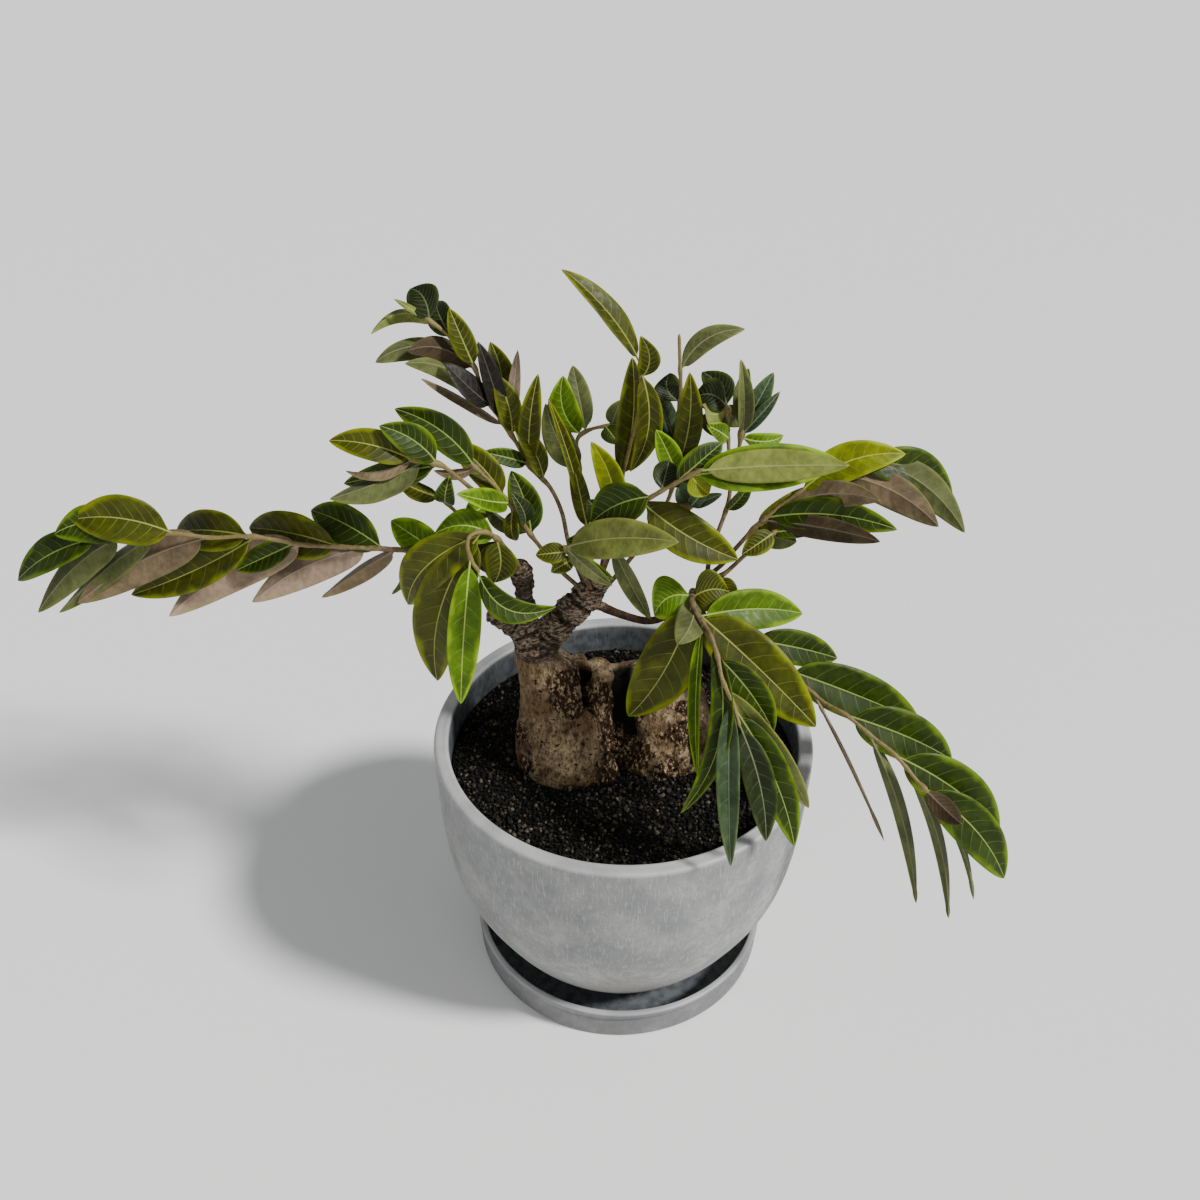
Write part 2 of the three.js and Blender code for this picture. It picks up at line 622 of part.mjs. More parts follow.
const hangRight = () => shoot(
  [[33, -17, 266], [31, -25, 268], [34, -32, 264], [39, -40, 260], [43, -50, 253], [45, -58, 246],
    [50, -66, 238], [53, -72, 230]],
  [
    leaf(0.14, [-30, -11, -64], 29, { bow: 5, fold: 12, sweep: -4 }),
    turnedLeaf(0.03, [-9, -30, -7], 16, { roll: 0, bow: -1, fold: 12, sweep: 3 }),
    leaf(0.29, [0, -34, -72], 9, { roll: 30, bow: 3, fold: 40, sweep: 1 }),
    leaf(0.4, [-13, -45, -75], 13, { roll: 20, bow: 4, fold: 24, sweep: -14 }),
    leaf(0.82, [2, -42, -72], 13, { roll: 20, bow: 3, fold: 26 }),
    leaf(1, [15, -26, -53], 16, { bow: 3, sweep: -3 }),
    leaf(0.9, [33, -22, -71], 18, { bow: 3, fold: 16, sweep: -4 }),
    leaf(0.54, [29, -12, -38], 19, { roll: 15, bow: 3, fold: 16, sweep: -3 }),
    leaf(0.2, [61, -25, -52], 29, { bow: 4, fold: 12, sweep: -1 }),
    leaf(0.73, [47, -10, -73], 16, { roll: 30, bow: 3, fold: 24, sweep: -4 }),
    leaf(0.24, [54, 18, -11], 21, { bow: 3, fold: 14, sweep: -3 }),
    leaf(0.05, [-19, -4, -9], 23, { bow: 3, fold: 14, sweep: 5 }),
    leaf(0.06, [18, 2, 2], 22, { roll: 10, bow: 3, fold: 16, sweep: -3 }),
  ],
);

const lowerRight = () => shoot(
  [[34, -16, 264], [42, -14, 255], [52, -13, 246], [73, -19, 229], [89, -28, 219], [101, -37, 213],
    [110, -44, 212], [123, -54, 206], [133, -62, 202], [145, -72, 192], [148, -75, 190]],
  [
    leaf(0.26, [49, 14, -23], 19, { bow: 3, fold: 14, sweep: -1 }),
    leaf(0.41, [76, 4, -39], 27, { bow: 4, fold: 14, sweep: -1 }),
    leaf(0.66, [60, 4, -34], 26, { bow: 4, fold: 14, sweep: -2 }),
    leaf(0.86, [61, -2, -52], 27, { bow: 4, fold: 14, sweep: -4 }),
    leaf(0.99, [50, -8, -57], 23, { bow: 4, fold: 14, sweep: -5 }),
    turnedLeaf(1, [14, -20, -3], 12, { roll: 0, bow: 3, fold: 22 }),
    turnedLeaf(0.53, [43, -26, -80], 6, { roll: 0, bow: 3, fold: 70, sweep: 2 }),
    turnedLeaf(0.75, [34, -26, -97], 13, { bow: 3, fold: 55, sweep: 5 }),
    turnedLeaf(0.91, [31, -22, -87], 13, { bow: 3, fold: 60, sweep: 6 }),
    turnedLeaf(0.99, [33, -16, -64], 8, { bow: 3, fold: 60, sweep: 6 }),
  ],
);

const sprays = [
  ["spray_long_left", longLeft, deepGreen],
  ["spray_hang_left", hangLeft, brightGreen],
  ["spray_mid_left", midLeft, purpleGreen],
  ["spray_upper_left", upperLeft, purpleGreen],
  ["spray_back_centre", backCentre, oliveGreen],
  ["spray_tall_centre", tallCentre, oliveGreen],
  ["spray_upright_right", uprightRight, deepGreen],
  ["spray_fore_right", foreRight, deepGreen],
  ["spray_hang_centre", hangCentre, oliveGreen],
  ["spray_right", rightSpray, brightGreen],
  ["spray_hang_right", hangRight, deepGreen],
  ["spray_lower_right", lowerRight, deepGreen],
];

const group = new THREE.Group();
const aroundWood = caudex(gap);
group.add(node("saucer", saucer(), darkCement));
group.add(node("pot", pot(), cement));
group.add(node("soil", soil(aroundWood), soilColour));
group.add(node("caudex", caudex(), barkColour));
for (const [name, make, colour] of sprays) group.add(node(name, make().subtract(aroundWood), colour));

export default group;
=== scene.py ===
import itertools
import math

import bpy
import numpy as np
from mathutils import Matrix, Vector


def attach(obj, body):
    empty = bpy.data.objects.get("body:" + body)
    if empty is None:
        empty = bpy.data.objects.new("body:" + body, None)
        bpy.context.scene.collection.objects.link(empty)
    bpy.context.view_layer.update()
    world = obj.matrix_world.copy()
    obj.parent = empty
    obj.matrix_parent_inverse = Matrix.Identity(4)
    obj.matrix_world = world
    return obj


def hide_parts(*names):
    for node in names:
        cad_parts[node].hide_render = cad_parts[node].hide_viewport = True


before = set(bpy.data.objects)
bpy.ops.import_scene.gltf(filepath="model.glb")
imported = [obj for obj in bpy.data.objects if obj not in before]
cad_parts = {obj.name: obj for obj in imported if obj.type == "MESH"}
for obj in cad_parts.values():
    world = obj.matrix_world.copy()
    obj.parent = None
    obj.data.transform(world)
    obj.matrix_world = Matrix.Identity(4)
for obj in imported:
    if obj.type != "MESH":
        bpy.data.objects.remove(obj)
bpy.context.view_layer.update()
mm = 0.001


# Numbers and curves

noiseCells = 32
noiseTable = np.random.default_rng(11).random((noiseCells,) * 3)


def softNoise(points, size, shift=0.0):
    # smooth noise from -1 to 1 with bumps about size across; size may be one number or one for each axis
    place = np.asarray(points, float) / size + shift
    cell = np.floor(place).astype(int)
    inCell = place - cell
    inCell = inCell * inCell * (3 - 2 * inCell)
    total = np.zeros(len(place))
    for corner in range(8):
        step = np.array([corner & 1, corner >> 1 & 1, corner >> 2 & 1])
        weight = np.prod(np.where(step, inCell, 1 - inCell), axis=1)
        at = (cell + step) % noiseCells
        total += weight * noiseTable[at[:, 0], at[:, 1], at[:, 2]]
    return total * 2 - 1


def ramped(values, low, high):
    # 0 below low, 1 above high and an eased rise between
    share = np.clip((values - low) / (high - low), 0, 1)
    return share * share * (3 - 2 * share)


def unit(vector):
    return vector / np.linalg.norm(vector)


def smoothLine(rows, perSpan=12):
    # a centripetal curve through the rows; columns after the third, such as radii, follow along
    rows = np.array(rows, float)
    ends = np.vstack([2 * rows[0] - rows[1], rows, 2 * rows[-1] - rows[-2]])
    made = []
    for i in range(len(rows) - 1):
        a, b, c, d = ends[i:i + 4]
        ta, tb, tc = [np.linalg.norm((q - p)[:3]) ** 0.5 for p, q in ((a, b), (b, c), (c, d))]
        leaving = ((b - a) / ta - (c - a) / (ta + tb) + (c - b) / tb) * tb
        arriving = ((c - b) / tb - (d - b) / (tb + tc) + (d - c) / tc) * tb
        u = (np.arange(perSpan) / perSpan)[:, None]
        made.append(b + leaving * u + (3 * (c - b) - 2 * leaving - arriving) * u ** 2
                    + (2 * (b - c) + leaving + arriving) * u ** 3)
    return np.vstack(made + [rows[-1:]])


def lengthsAlong(line):
    return np.concatenate([[0], np.cumsum(np.linalg.norm(np.diff(line[:, :3], axis=0), axis=1))])


def evenly(line, shares):
    # places on the line at shares of its length
    lengths = lengthsAlong(line)
    wanted = np.asarray(shares, float) * lengths[-1]
    return np.stack([np.interp(wanted, lengths, column) for column in line.T], axis=-1)


# Meshes: a part is its points, its faces, the finish of each face and the marks on its points

def part(points, faces, finish=0, **marks):
    return {"points": np.asarray(points, float), "faces": faces, "finish": [finish] * len(faces),
            "marks": {name: np.asarray(value, float) for name, value in marks.items()}}


def joinParts(parts):
    widths = {name: value.shape[1:] for one in parts for name, value in one["marks"].items()}
    faces, finish, start = [], [], 0
    marks = {name: [] for name in widths}
    for one in parts:
        count = len(one["points"])
        faces += [[start + corner for corner in face] for face in one["faces"]]
        finish += one["finish"]
        for name, width in widths.items():
            marks[name].append(one["marks"].get(name, np.zeros((count, *width))))
        start += count
    whole = part(np.vstack([one["points"] for one in parts]), faces)
    whole["finish"] = finish
    whole["marks"] = {name: np.concatenate(values) for name, values in marks.items()}
    return whole


def markMesh(mesh, marks):
    # marks go to the materials as attributes: single numbers, three numbers or colours
    kinds = {1: ("FLOAT", "value"), 3: ("FLOAT_VECTOR", "vector"), 4: ("FLOAT_COLOR", "color")}
    for name, value in marks.items():
        kind, field = kinds[value[0].size]
        layer = mesh.attributes.new(name, kind, "POINT")
        layer.data.foreach_set(field, value.astype(np.float32).ravel())


def placed(name, data):
    made = bpy.data.objects.new(name, data)
    bpy.context.scene.collection.objects.link(made)
    return made


def makePiece(name, one, materials, smooth=True):
    mesh = bpy.data.meshes.new(name)
    mesh.from_pydata((one["points"] * mm).tolist(), [], one["faces"])
    for material in materials:
        mesh.materials.append(material)
    mesh.polygons.foreach_set("material_index", one["finish"])
    mesh.polygons.foreach_set("use_smooth", [smooth] * len(mesh.polygons))
    markMesh(mesh, one["marks"])
    mesh.update()
    return placed(name, mesh)


def dress(piece, node):
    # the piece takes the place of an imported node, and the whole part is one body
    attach(piece, "root")
    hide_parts(node)
    print(piece.name, "made:", len(piece.data.polygons), "faces")


def around(sides):
    return 2 * math.pi * np.arange(sides) / sides


def ringFaces(rings, sides, closed=False):
    # quads between rings of points that lie one after another, closed on themselves or capped at both ends
    faces = []
    for i in range(rings if closed else rings - 1):
        low, high = i * sides, (i + 1) % rings * sides
        for j in range(sides):
            k = (j + 1) % sides
            faces.append([low + j, low + k, high + k, high + j])
    if not closed:
        faces.append(list(range(sides))[::-1])
        faces.append(list(range((rings - 1) * sides, rings * sides)))
    return faces


capShape = {"narrow": 0.62, "bulge": 0.4}  # of a tube's end, in its radii


def tubePart(line, sides, finish=0):
    # a round body along a line of x, y, z, radius and perhaps a second radius towards Y, with rounded ends
    places = line[:, :3]
    wide, deep = line[:, 3], line[:, -1]
    tangents = np.gradient(places, axis=0)
    tangents /= np.linalg.norm(tangents, axis=1)[:, None]
    across = np.array([1.0, 0, 0]) if abs(tangents[0, 1]) > 0.8 else np.array([0, 1.0, 0])
    angles = around(sides)
    last = len(line) - 1
    rings, shares = [], []
    for i in range(len(line)):
        across = unit(across - tangents[i] * across.dot(tangents[i]))
        up = np.cross(tangents[i], across)
        ring = deep[i] * np.outer(np.cos(angles), across) + wide[i] * np.outer(np.sin(angles), up)
        cap = places[i] + ring * capShape["narrow"]
        bulge = capShape["bulge"] * min(wide[i], deep[i]) * tangents[i]
        made = [cap - bulge] * (i == 0) + [places[i] + ring] + [cap + bulge] * (i == last)
        rings += made
        shares += [i / last] * len(made)
    faces = ringFaces(len(rings), sides)
    return part(np.vstack(rings), faces, finish, alongStem=np.repeat(shares, sides))


# Shader building: a socket knows its own node tree

def tint(code):
    # a colour as seen on screen, such as "4c5a1c", as the linear numbers that shaders take
    seen = [int(code[i:i + 2], 16) / 255 for i in (0, 2, 4)]
    return [v / 12.92 if v <= 0.04045 else ((v + 0.055) / 1.055) ** 2.4 for v in seen] + [1.0]


def setInputs(tree, node, values):
    for name, value in values.items():
        if isinstance(value, bpy.types.NodeSocket):
            tree.links.new(value, node.inputs[name])
        else:
            node.inputs[name].default_value = value
    return node.outputs


def addNode(tree, kind, inputs=None, **settings):
    node = tree.nodes.new("ShaderNode" + kind)
    for name, value in settings.items():
        setattr(node, name, value)
    return setInputs(tree, node, inputs or {})


def treeOf(*values):
    return next(value.id_data for value in values if isinstance(value, bpy.types.NodeSocket))


def maths(operation, a, b=0.0, clamp=False):
    return addNode(treeOf(a, b), "Math", {0: a, 1: b}, operation=operation, use_clamp=clamp)[0]


def times(a, b):
    return maths("MULTIPLY", a, b)


def plus(a, b):
    return maths("ADD", a, b)


def mixed(share, a, b, blend="MIX"):
    values = {0: share, 6: a, 7: b}
    return addNode(treeOf(share, a, b), "Mix", values, data_type="RGBA", blend_type=blend)[2]


def spanned(value, low, high, bottom=0.0, top=1.0, kind="LINEAR"):
    limits = {0: value, 1: low, 2: high, 3: bottom, 4: top}
    return addNode(value.id_data, "MapRange", limits, interpolation_type=kind)[0]


def eased(value, low, high, bottom=0.0, top=1.0):
    return spanned(value, low, high, bottom, top, "SMOOTHSTEP")


def readMark(tree, name, output="Fac"):
    return addNode(tree, "Attribute", attribute_type="GEOMETRY", attribute_name=name)[output]


def objectPlace(tree, stretch=(1, 1, 1)):
    # the point in millimetres, perhaps squeezed along an axis
    place = addNode(tree, "TexCoord")["Object"]
    scale = [value / mm for value in stretch]
    return addNode(tree, "VectorMath", {0: place, 1: scale}, operation="MULTIPLY")[0]


def noise(place, size, detail=3.0, rough=0.55):
    # noise with bumps of about size, in the units of the place, from 0 to 1
    values = {"Vector": place, "Scale": 1 / size, "Detail": detail, "Roughness": rough}
    return addNode(place.id_data, "TexNoise", values)["Fac"]


def layered(colour, look, masks):
    # lays the look's colours over a first one, each by its mask and its share
    for name, mask in masks.items():
        colour = mixed(times(mask, look["shares"][name]), colour, tint(look[name]))
    return colour


def newGroup(name, places, values, outputs):
    # a node group: inputs for places and for numbers with their first values, and outputs from 0 to 1
    group = bpy.data.node_groups.new(name, "ShaderNodeTree")
    for label in places:
        group.interface.new_socket(label, in_out="INPUT", socket_type="NodeSocketVector")
    for label, start in values.items():
        socket = group.interface.new_socket(label, in_out="INPUT", socket_type="NodeSocketFloat")
        socket.default_value = start
    for label in outputs:
        group.interface.new_socket(label, in_out="OUTPUT", socket_type="NodeSocketFloat")
    return group, group.nodes.new("NodeGroupInput").outputs, group.nodes.new("NodeGroupOutput")


def useGroup(tree, group, values):
    node = tree.nodes.new("ShaderNodeGroup")
    node.node_tree = group
    return setInputs(tree, node, values)


def newMaterial(name):
    material = bpy.data.materials.new(name)
    material.use_nodes = True
    return material, material.node_tree


def finished(material, colour, rough, height, depth, plain=None):
    # joins a finish to its shader; height from 0 to 1, depth in millimetres, plain: values of other sockets
    tree = material.node_tree
    normal = addNode(tree, "Bump", {"Height": height, "Distance": depth * mm, "Strength": 1.0})["Normal"]
    values = {"Base Color": colour, "Roughness": rough, "Normal": normal}
    setInputs(tree, tree.nodes["Principled BSDF"], {**values, **(plain or {})})
    return material


toneSpans = {"Cloud": (0.35, 0.65), "Mottle": (0.35, 0.65), "Specks": (0.58, 0.7)}


def makeToneGroup():
    # uneven tone: broad clouds, fine mottle and specks, each from 0 to 1
    sizes = {"Cloud size": 20.0, "Speck size": 1.2}
    group, given, out = newGroup("unevenTone", ["Place"], sizes, list(toneSpans))

    def inSizes(name):
        size = addNode(group, "CombineXYZ", {axis: given[name] for axis in range(3)})[0]
        return addNode(group, "VectorMath", {0: given["Place"], 1: size}, operation="DIVIDE")[0]

    broad = inSizes("Cloud size")
    grains = {
        "Cloud": noise(broad, 1.0, 4.0, 0.5), "Mottle": noise(broad, 0.2, 3.0, 0.5),
        "Specks": noise(inSizes("Speck size"), 1.0, 2.0, 0.5),
    }
    setInputs(group, out, {name: eased(grain, *toneSpans[name]) for name, grain in grains.items()})
    return group


toneGroup = makeToneGroup()


def tones(place, look):
    sizes = {"Cloud size": look["cloudSize"], "Speck size": look["speckSize"]}
    return useGroup(place.id_data, toneGroup, {"Place": place, **sizes})


# Saucer and pot

cement = {
    "face": "8f8f8b", "shade": "747676", "lightStreak": "adada9", "warmFoot": "8d8178", "specks": "646461",
    # rim: the painted highlight on the rim's top; inside and insideShade: the painted shade of the hollow
    "inside": "5e6264", "insideShade": "43474a", "rim": "b9bab7",
    "shares": {"warmFoot": 0.8, "shade": 0.35, "lightStreak": 0.45, "specks": 0.5},
    "insideStreaks": 0.12, "streakHeight": 7, "streakWidth": 1.1, "streakSpan": (0.5, 0.72),
    "footHeights": (90, 10), "rimHeights": (156.5, 158.6), "rimCover": (0.8, 0.5),
    "cloudSize": 26.0, "speckSize": 1.4, "rough": (0.38, 0.58), "grainSize": 0.8, "streakRise": 0.5,
    "grainDepth": 0.14,
}
saucerCement = dict(
    cement, face="7a797b", shade="646567", lightStreak="949496", warmFoot="6a6664",
    shares=dict(cement["shares"], lightStreak=0.2), footHeights=(16, 2), rimHeights=(19.6, 20.8),
)


def cementFinish(name, look):
    # mottled fibre cement: vertical streaks, a warm tint towards the foot, a darker inside that is painted
    # shade, and a pale rim top that is a painted highlight
    material, tree = newMaterial(name)
    place = objectPlace(tree)
    tone = tones(place, look)
    narrow = 1 / look["streakWidth"]
    streakPlace = objectPlace(tree, (narrow, narrow, 1 / look["streakHeight"]))
    streaks = eased(noise(streakPlace, 1.0), *look["streakSpan"])
    height = addNode(tree, "SeparateXYZ", {0: place})[2]
    foot = times(spanned(height, *look["footHeights"]), tone["Cloud"])
    colour = mixed(tone["Cloud"], tint(look["face"]), tint(look["shade"]))
    colour = layered(colour, look, {
        "warmFoot": foot, "shade": tone["Mottle"], "lightStreak": streaks, "specks": tone["Specks"],
    })
    # the darker inside is painted shade of the hollow, crossed by a few pale streaks
    inner = mixed(tone["Mottle"], tint(look["inside"]), tint(look["insideShade"]))
    inner = mixed(times(streaks, look["insideStreaks"]), inner, tint(look["lightStreak"]))
    colour = mixed(readMark(tree, "inside"), colour, inner)
    # a painted highlight on the rim's top, which faces the sun, made uneven by the clouds
    rimHighlight = times(spanned(height, *look["rimHeights"]), spanned(tone["Cloud"], 0, 1, *look["rimCover"]))
    colour = mixed(rimHighlight, colour, tint(look["rim"]))
    rough = spanned(tone["Mottle"], 0, 1, *look["rough"])
    grain = plus(noise(place, look["grainSize"], 4.0), times(streaks, look["streakRise"]))
    return finished(material, colour, rough, grain, look["grainDepth"])


def turnedPart(profile, inside, sides=160, unevenness=0.12, dentSize=19.0):
    # a profile of radius and height, closed on itself and turned about Z, with slightly uneven faces
    angles = around(sides)
    points = np.stack([np.outer(profile[:, 0], np.cos(angles)).ravel(),
                       np.outer(profile[:, 0], np.sin(angles)).ravel(),
                       np.repeat(profile[:, 1], sides)], axis=1)
    dent = unevenness * (0.5 + 0.5 * softNoise(points, dentSize))
    narrower = 1 - dent / np.hypot(points[:, 0], points[:, 1])
    points[:, :2] *= narrower[:, None]
    return part(points, ringFaces(len(profile), sides, closed=True), inside=np.repeat(inside, sides))


def roundedCorner(before, corner, after, radius, steps=6):
    # the points that round off a corner of a profile
    before, corner, after = [np.array(p, float) for p in (before, corner, after)]
    start = corner + unit(before - corner) * radius
    end = corner + unit(after - corner) * radius
    u = np.linspace(0, 1, steps)[:, None]
    return (start * (1 - u) ** 2 + 2 * corner * u * (1 - u) + end * u ** 2).tolist()


def level(height, start, end, count):
    return [[radius, height] for radius in np.linspace(start, end, count)]


def upright(radius, start, end, count):
    return [[radius, height] for height in np.linspace(start, end, count)]


saucerShape = {
    "radius": 86.5, "height": 21, "wall": 3.8, "floor": 5, "beadHeight": 4.6, "beadOut": 0.9,
    "footRound": 3, "lipRound": 1.5, "innerLipRound": 1.4, "floorRound": 4, "centre": 0.4, "apart": 8,
}


def saucerProfile(shape):
    outer, top, floor, apart = shape["radius"], shape["height"], shape["floor"], shape["apart"]
    side, inner = outer - shape["beadOut"], outer - shape["wall"]
    beadFoot = top - shape["beadHeight"]
    profile = [[shape["centre"], 0]] + level(0, 12, outer - apart, 7)
    profile += roundedCorner([outer - apart, 0], [side, 0], [side, 6], shape["footRound"])
    profile += upright(side, 5, beadFoot - 1.6, 5)
    profile += [[side - 0.5, beadFoot - 0.5], [side - 0.3, beadFoot], [outer, beadFoot + 0.7]]
    profile += roundedCorner([outer, beadFoot + 1], [outer, top], [inner, top], shape["lipRound"])
    profile += roundedCorner([outer, top], [inner, top], [inner, floor], shape["innerLipRound"])
    profile += upright(inner - 0.3, top - 3, floor + 5, 4)
    profile += roundedCorner([inner - 0.4, 12], [inner - 0.8, floor], [0, floor], shape["floorRound"])
    return profile + level(floor, inner - apart, 10, 8) + [[shape["centre"], floor]]


potShape = {
    "outside": [[60.5, 6.5], [74.5, 25], [86, 45], [97, 70], [102, 95], [104.2, 125], [105, 153]],
    "inside": [[96.6, 153], [95.6, 120], [88.2, 70], [77.5, 45], [66, 26], [54, 13.3]],
    "top": 159, "rimOuter": 105, "rimInner": 97, "bottom": 5.3, "floor": 13.3, "drain": 6, "foot": 58.8,
    "footRound": 1.6, "rimRound": 2.6, "innerRimRound": 2.2, "rimSteps": 8,
}


def potProfile(shape):
    top, bottom, floor, drain = shape["top"], shape["bottom"], shape["floor"], shape["drain"]
    outer, inner, steps = shape["rimOuter"], shape["rimInner"], shape["rimSteps"]

    def curved(points):
        return smoothLine([[r, z, 0] for r, z in points], 6)[:, :2].tolist()

    profile = [[drain, bottom]] + level(bottom, 14, 54, 6)
    profile += roundedCorner([54, bottom], [shape["foot"], bottom], shape["outside"][1], shape["footRound"])
    profile += curved(shape["outside"])
    profile += roundedCorner([outer, top - 5], [outer, top], [100, top], shape["rimRound"], steps)
    profile += [[101, top], [99.6, top - 0.1]]
    profile += roundedCorner([100, top], [inner, top], [96.8, top - 5], shape["innerRimRound"], steps)
    return profile + curved(shape["inside"]) + level(floor, 48, 12, 5) + [[drain, floor]]


def makeVessel(name, node, profile, look, insideFrom=5, insideRun=3):
    # the darker inside, which is painted shade, starts a few points past the rim's innermost top point
    profile = np.array(profile, float)
    turn = int(np.argmax(profile[:, 1] * 10 - profile[:, 0] * 0.01))
    inside = ramped(np.arange(len(profile)) - turn, insideFrom, insideFrom + insideRun)
    finish = cementFinish(node + "Cement", look)
    dress(makePiece(name, turnedPart(profile, inside), [finish]), node)


makeVessel("fineSaucer", "saucer", saucerProfile(saucerShape), saucerCement)
makeVessel("finePot", "pot", potProfile(potShape), cement)


# Soil

soilBed = {
    "top": 141, "rise": 2.5, "edge": 95.6, "floor": 13.6,
    "wall": [[53.4, 13.6], [65.4, 26.3], [76.9, 45.3], [87.6, 70.3], [95.0, 120.3]],
    "rings": 44, "sides": 150, "waves": (17, 21, 11),  # their lengths across, from front to back and aslant
    "sunk": 0.5, "grainSize": 2.6, "grainRise": 0.5, "grainSunk": 0.3,
}
grit = {
    "apart": 2.0, "nudge": 0.9, "smallest": 0.7, "largest": 1.55, "sink": (-0.5, 0.6), "seed": 5,
    "stops": [(0, "030302"), (0.28, "0a0908"), (0.5, "181511"), (0.72, "2f2a21"), (0.9, "4a4236"),
              (1, "6a6255")],
    "specks": "575046", "damp": "030302", "shares": {"specks": 0.2, "damp": 0.45},
    "cloudSize": 14.0, "speckSize": 0.5, "rough": (0.65, 0.95), "gloss": 0.2,
    "grainSize": 0.3, "grainDepth": 0.12,
}


def soilHeight(x, y):
    # rises and falls as the packed soil does
    inner = 1 - np.hypot(x, y) / soilBed["edge"]
    across, deep, aslant = soilBed["waves"]
    wave = np.sin(x / across) * np.cos(y / deep) + 0.5 * np.sin((x + y) / aslant)
    return soilBed["top"] + soilBed["rise"] * wave * np.minimum(inner * 4, 0.6)


def soilPart(bed):
    sides = bed["sides"]
    angles = around(sides)
    rings = [(0.5, bed["floor"])] + bed["wall"] + [(bed["edge"], None)]
    rings += [(bed["edge"] * (1 - i / bed["rings"]) + 0.3, None) for i in range(1, bed["rings"] + 1)]
    points = []
    for radius, height in rings:
        x, y = radius * np.cos(angles), radius * np.sin(angles)
        z = soilHeight(x, y) - bed["sunk"] if height is None else np.full(sides, height)
        points.append(np.stack([x, y, z], axis=1))
    points = np.vstack(points)
    top = points[:, 2] > bed["top"] - 6
    points[top, 2] += bed["grainRise"] * softNoise(points[top], bed["grainSize"]) - bed["grainSunk"]
    return part(points, ringFaces(len(rings), sides), grain=0.15 + 0.15 * softNoise(points, 1.7))


golden = (1 + 5 ** 0.5) / 2
stoneSpan = 1.9  # brings the corners of a stone to about 1 from its middle
corners = [(a, b) for a in (-1, 1) for b in (-1, 1)]
stonePoints = np.array([[a, b * golden, 0] for a, b in corners] + [[0, a, b * golden] for a, b in corners]
                       + [[a * golden, 0, b] for a, b in corners]) / stoneSpan


def stoneFaces():
    # the twenty triangles between neighbours of stonePoints, each facing out
    faces = []
    near = 2 / stoneSpan * 1.05
    for i, j, k in itertools.combinations(range(12), 3):
        a, b, c = stonePoints[[i, j, k]]
        if max(np.linalg.norm(a - b), np.linalg.norm(b - c), np.linalg.norm(a - c)) < near:
            out = np.dot(np.cross(b - a, c - a), a + b + c) > 0
            faces.append([i, j, k] if out else [i, k, j])
    return faces


def gritPart(bed, look, insideWood):
    # small broken stones, one in each cell of a grid, nudged about and turned at random
    random = np.random.default_rng(look["seed"])
    lines = np.arange(-bed["edge"], bed["edge"], look["apart"])
    x, y = [grid.ravel() for grid in np.meshgrid(lines, lines)]
    x = x + random.uniform(-look["nudge"], look["nudge"], len(x))
    y = y + random.uniform(-look["nudge"], look["nudge"], len(y))
    size = look["smallest"] + (look["largest"] - look["smallest"]) * random.random(len(x)) ** 2
    keep = (np.hypot(x, y) + size < bed["edge"] - 0.3) & ~insideWood(x, y)
    x, y, size = x[keep], y[keep], size[keep]
    faces = stoneFaces()
    points, allFaces, grains = [], [], []
    for i in range(len(x)):
        turn = np.linalg.qr(random.normal(size=(3, 3)))[0]
        turn *= np.sign(np.linalg.det(turn))
        stone = stonePoints * random.uniform(0.75, 1.2, (12, 1)) * random.uniform(0.65, 1.15, 3)
        stone = stone @ turn.T * size[i]
        z = soilHeight(x[i], y[i]) + random.uniform(*look["sink"]) * size[i]
        points.append(stone + [x[i], y[i], z])
        allFaces += [[i * 12 + corner for corner in face] for face in faces]
        grains.append(np.full(12, random.random()))
    return part(np.vstack(points), allFaces, grain=np.concatenate(grains))


def gritFinish(look):
    material, tree = newMaterial("soilGrit")
    place = objectPlace(tree)
    tone = tones(place, look)
    ramp = tree.nodes.new("ShaderNodeValToRGB")
    stops = ramp.color_ramp.elements
    while len(stops) < len(look["stops"]):
        stops.new(0.5)
    for stop, (share, colour) in zip(stops, look["stops"]):
        stop.position = share
        stop.color = tint(colour)
    tree.links.new(readMark(tree, "grain"), ramp.inputs[0])
    colour = layered(ramp.outputs[0], look, {"specks": tone["Specks"], "damp": tone["Cloud"]})
    rough = spanned(tone["Mottle"], 0, 1, *look["rough"])
    grain = noise(place, look["grainSize"], 2.0)
    return finished(material, colour, rough, grain, look["grainDepth"], {"Specular IOR Level": look["gloss"]})


# Caudex: swollen lobes, trunks, cut stub and the low branch, grown together into one body of wood

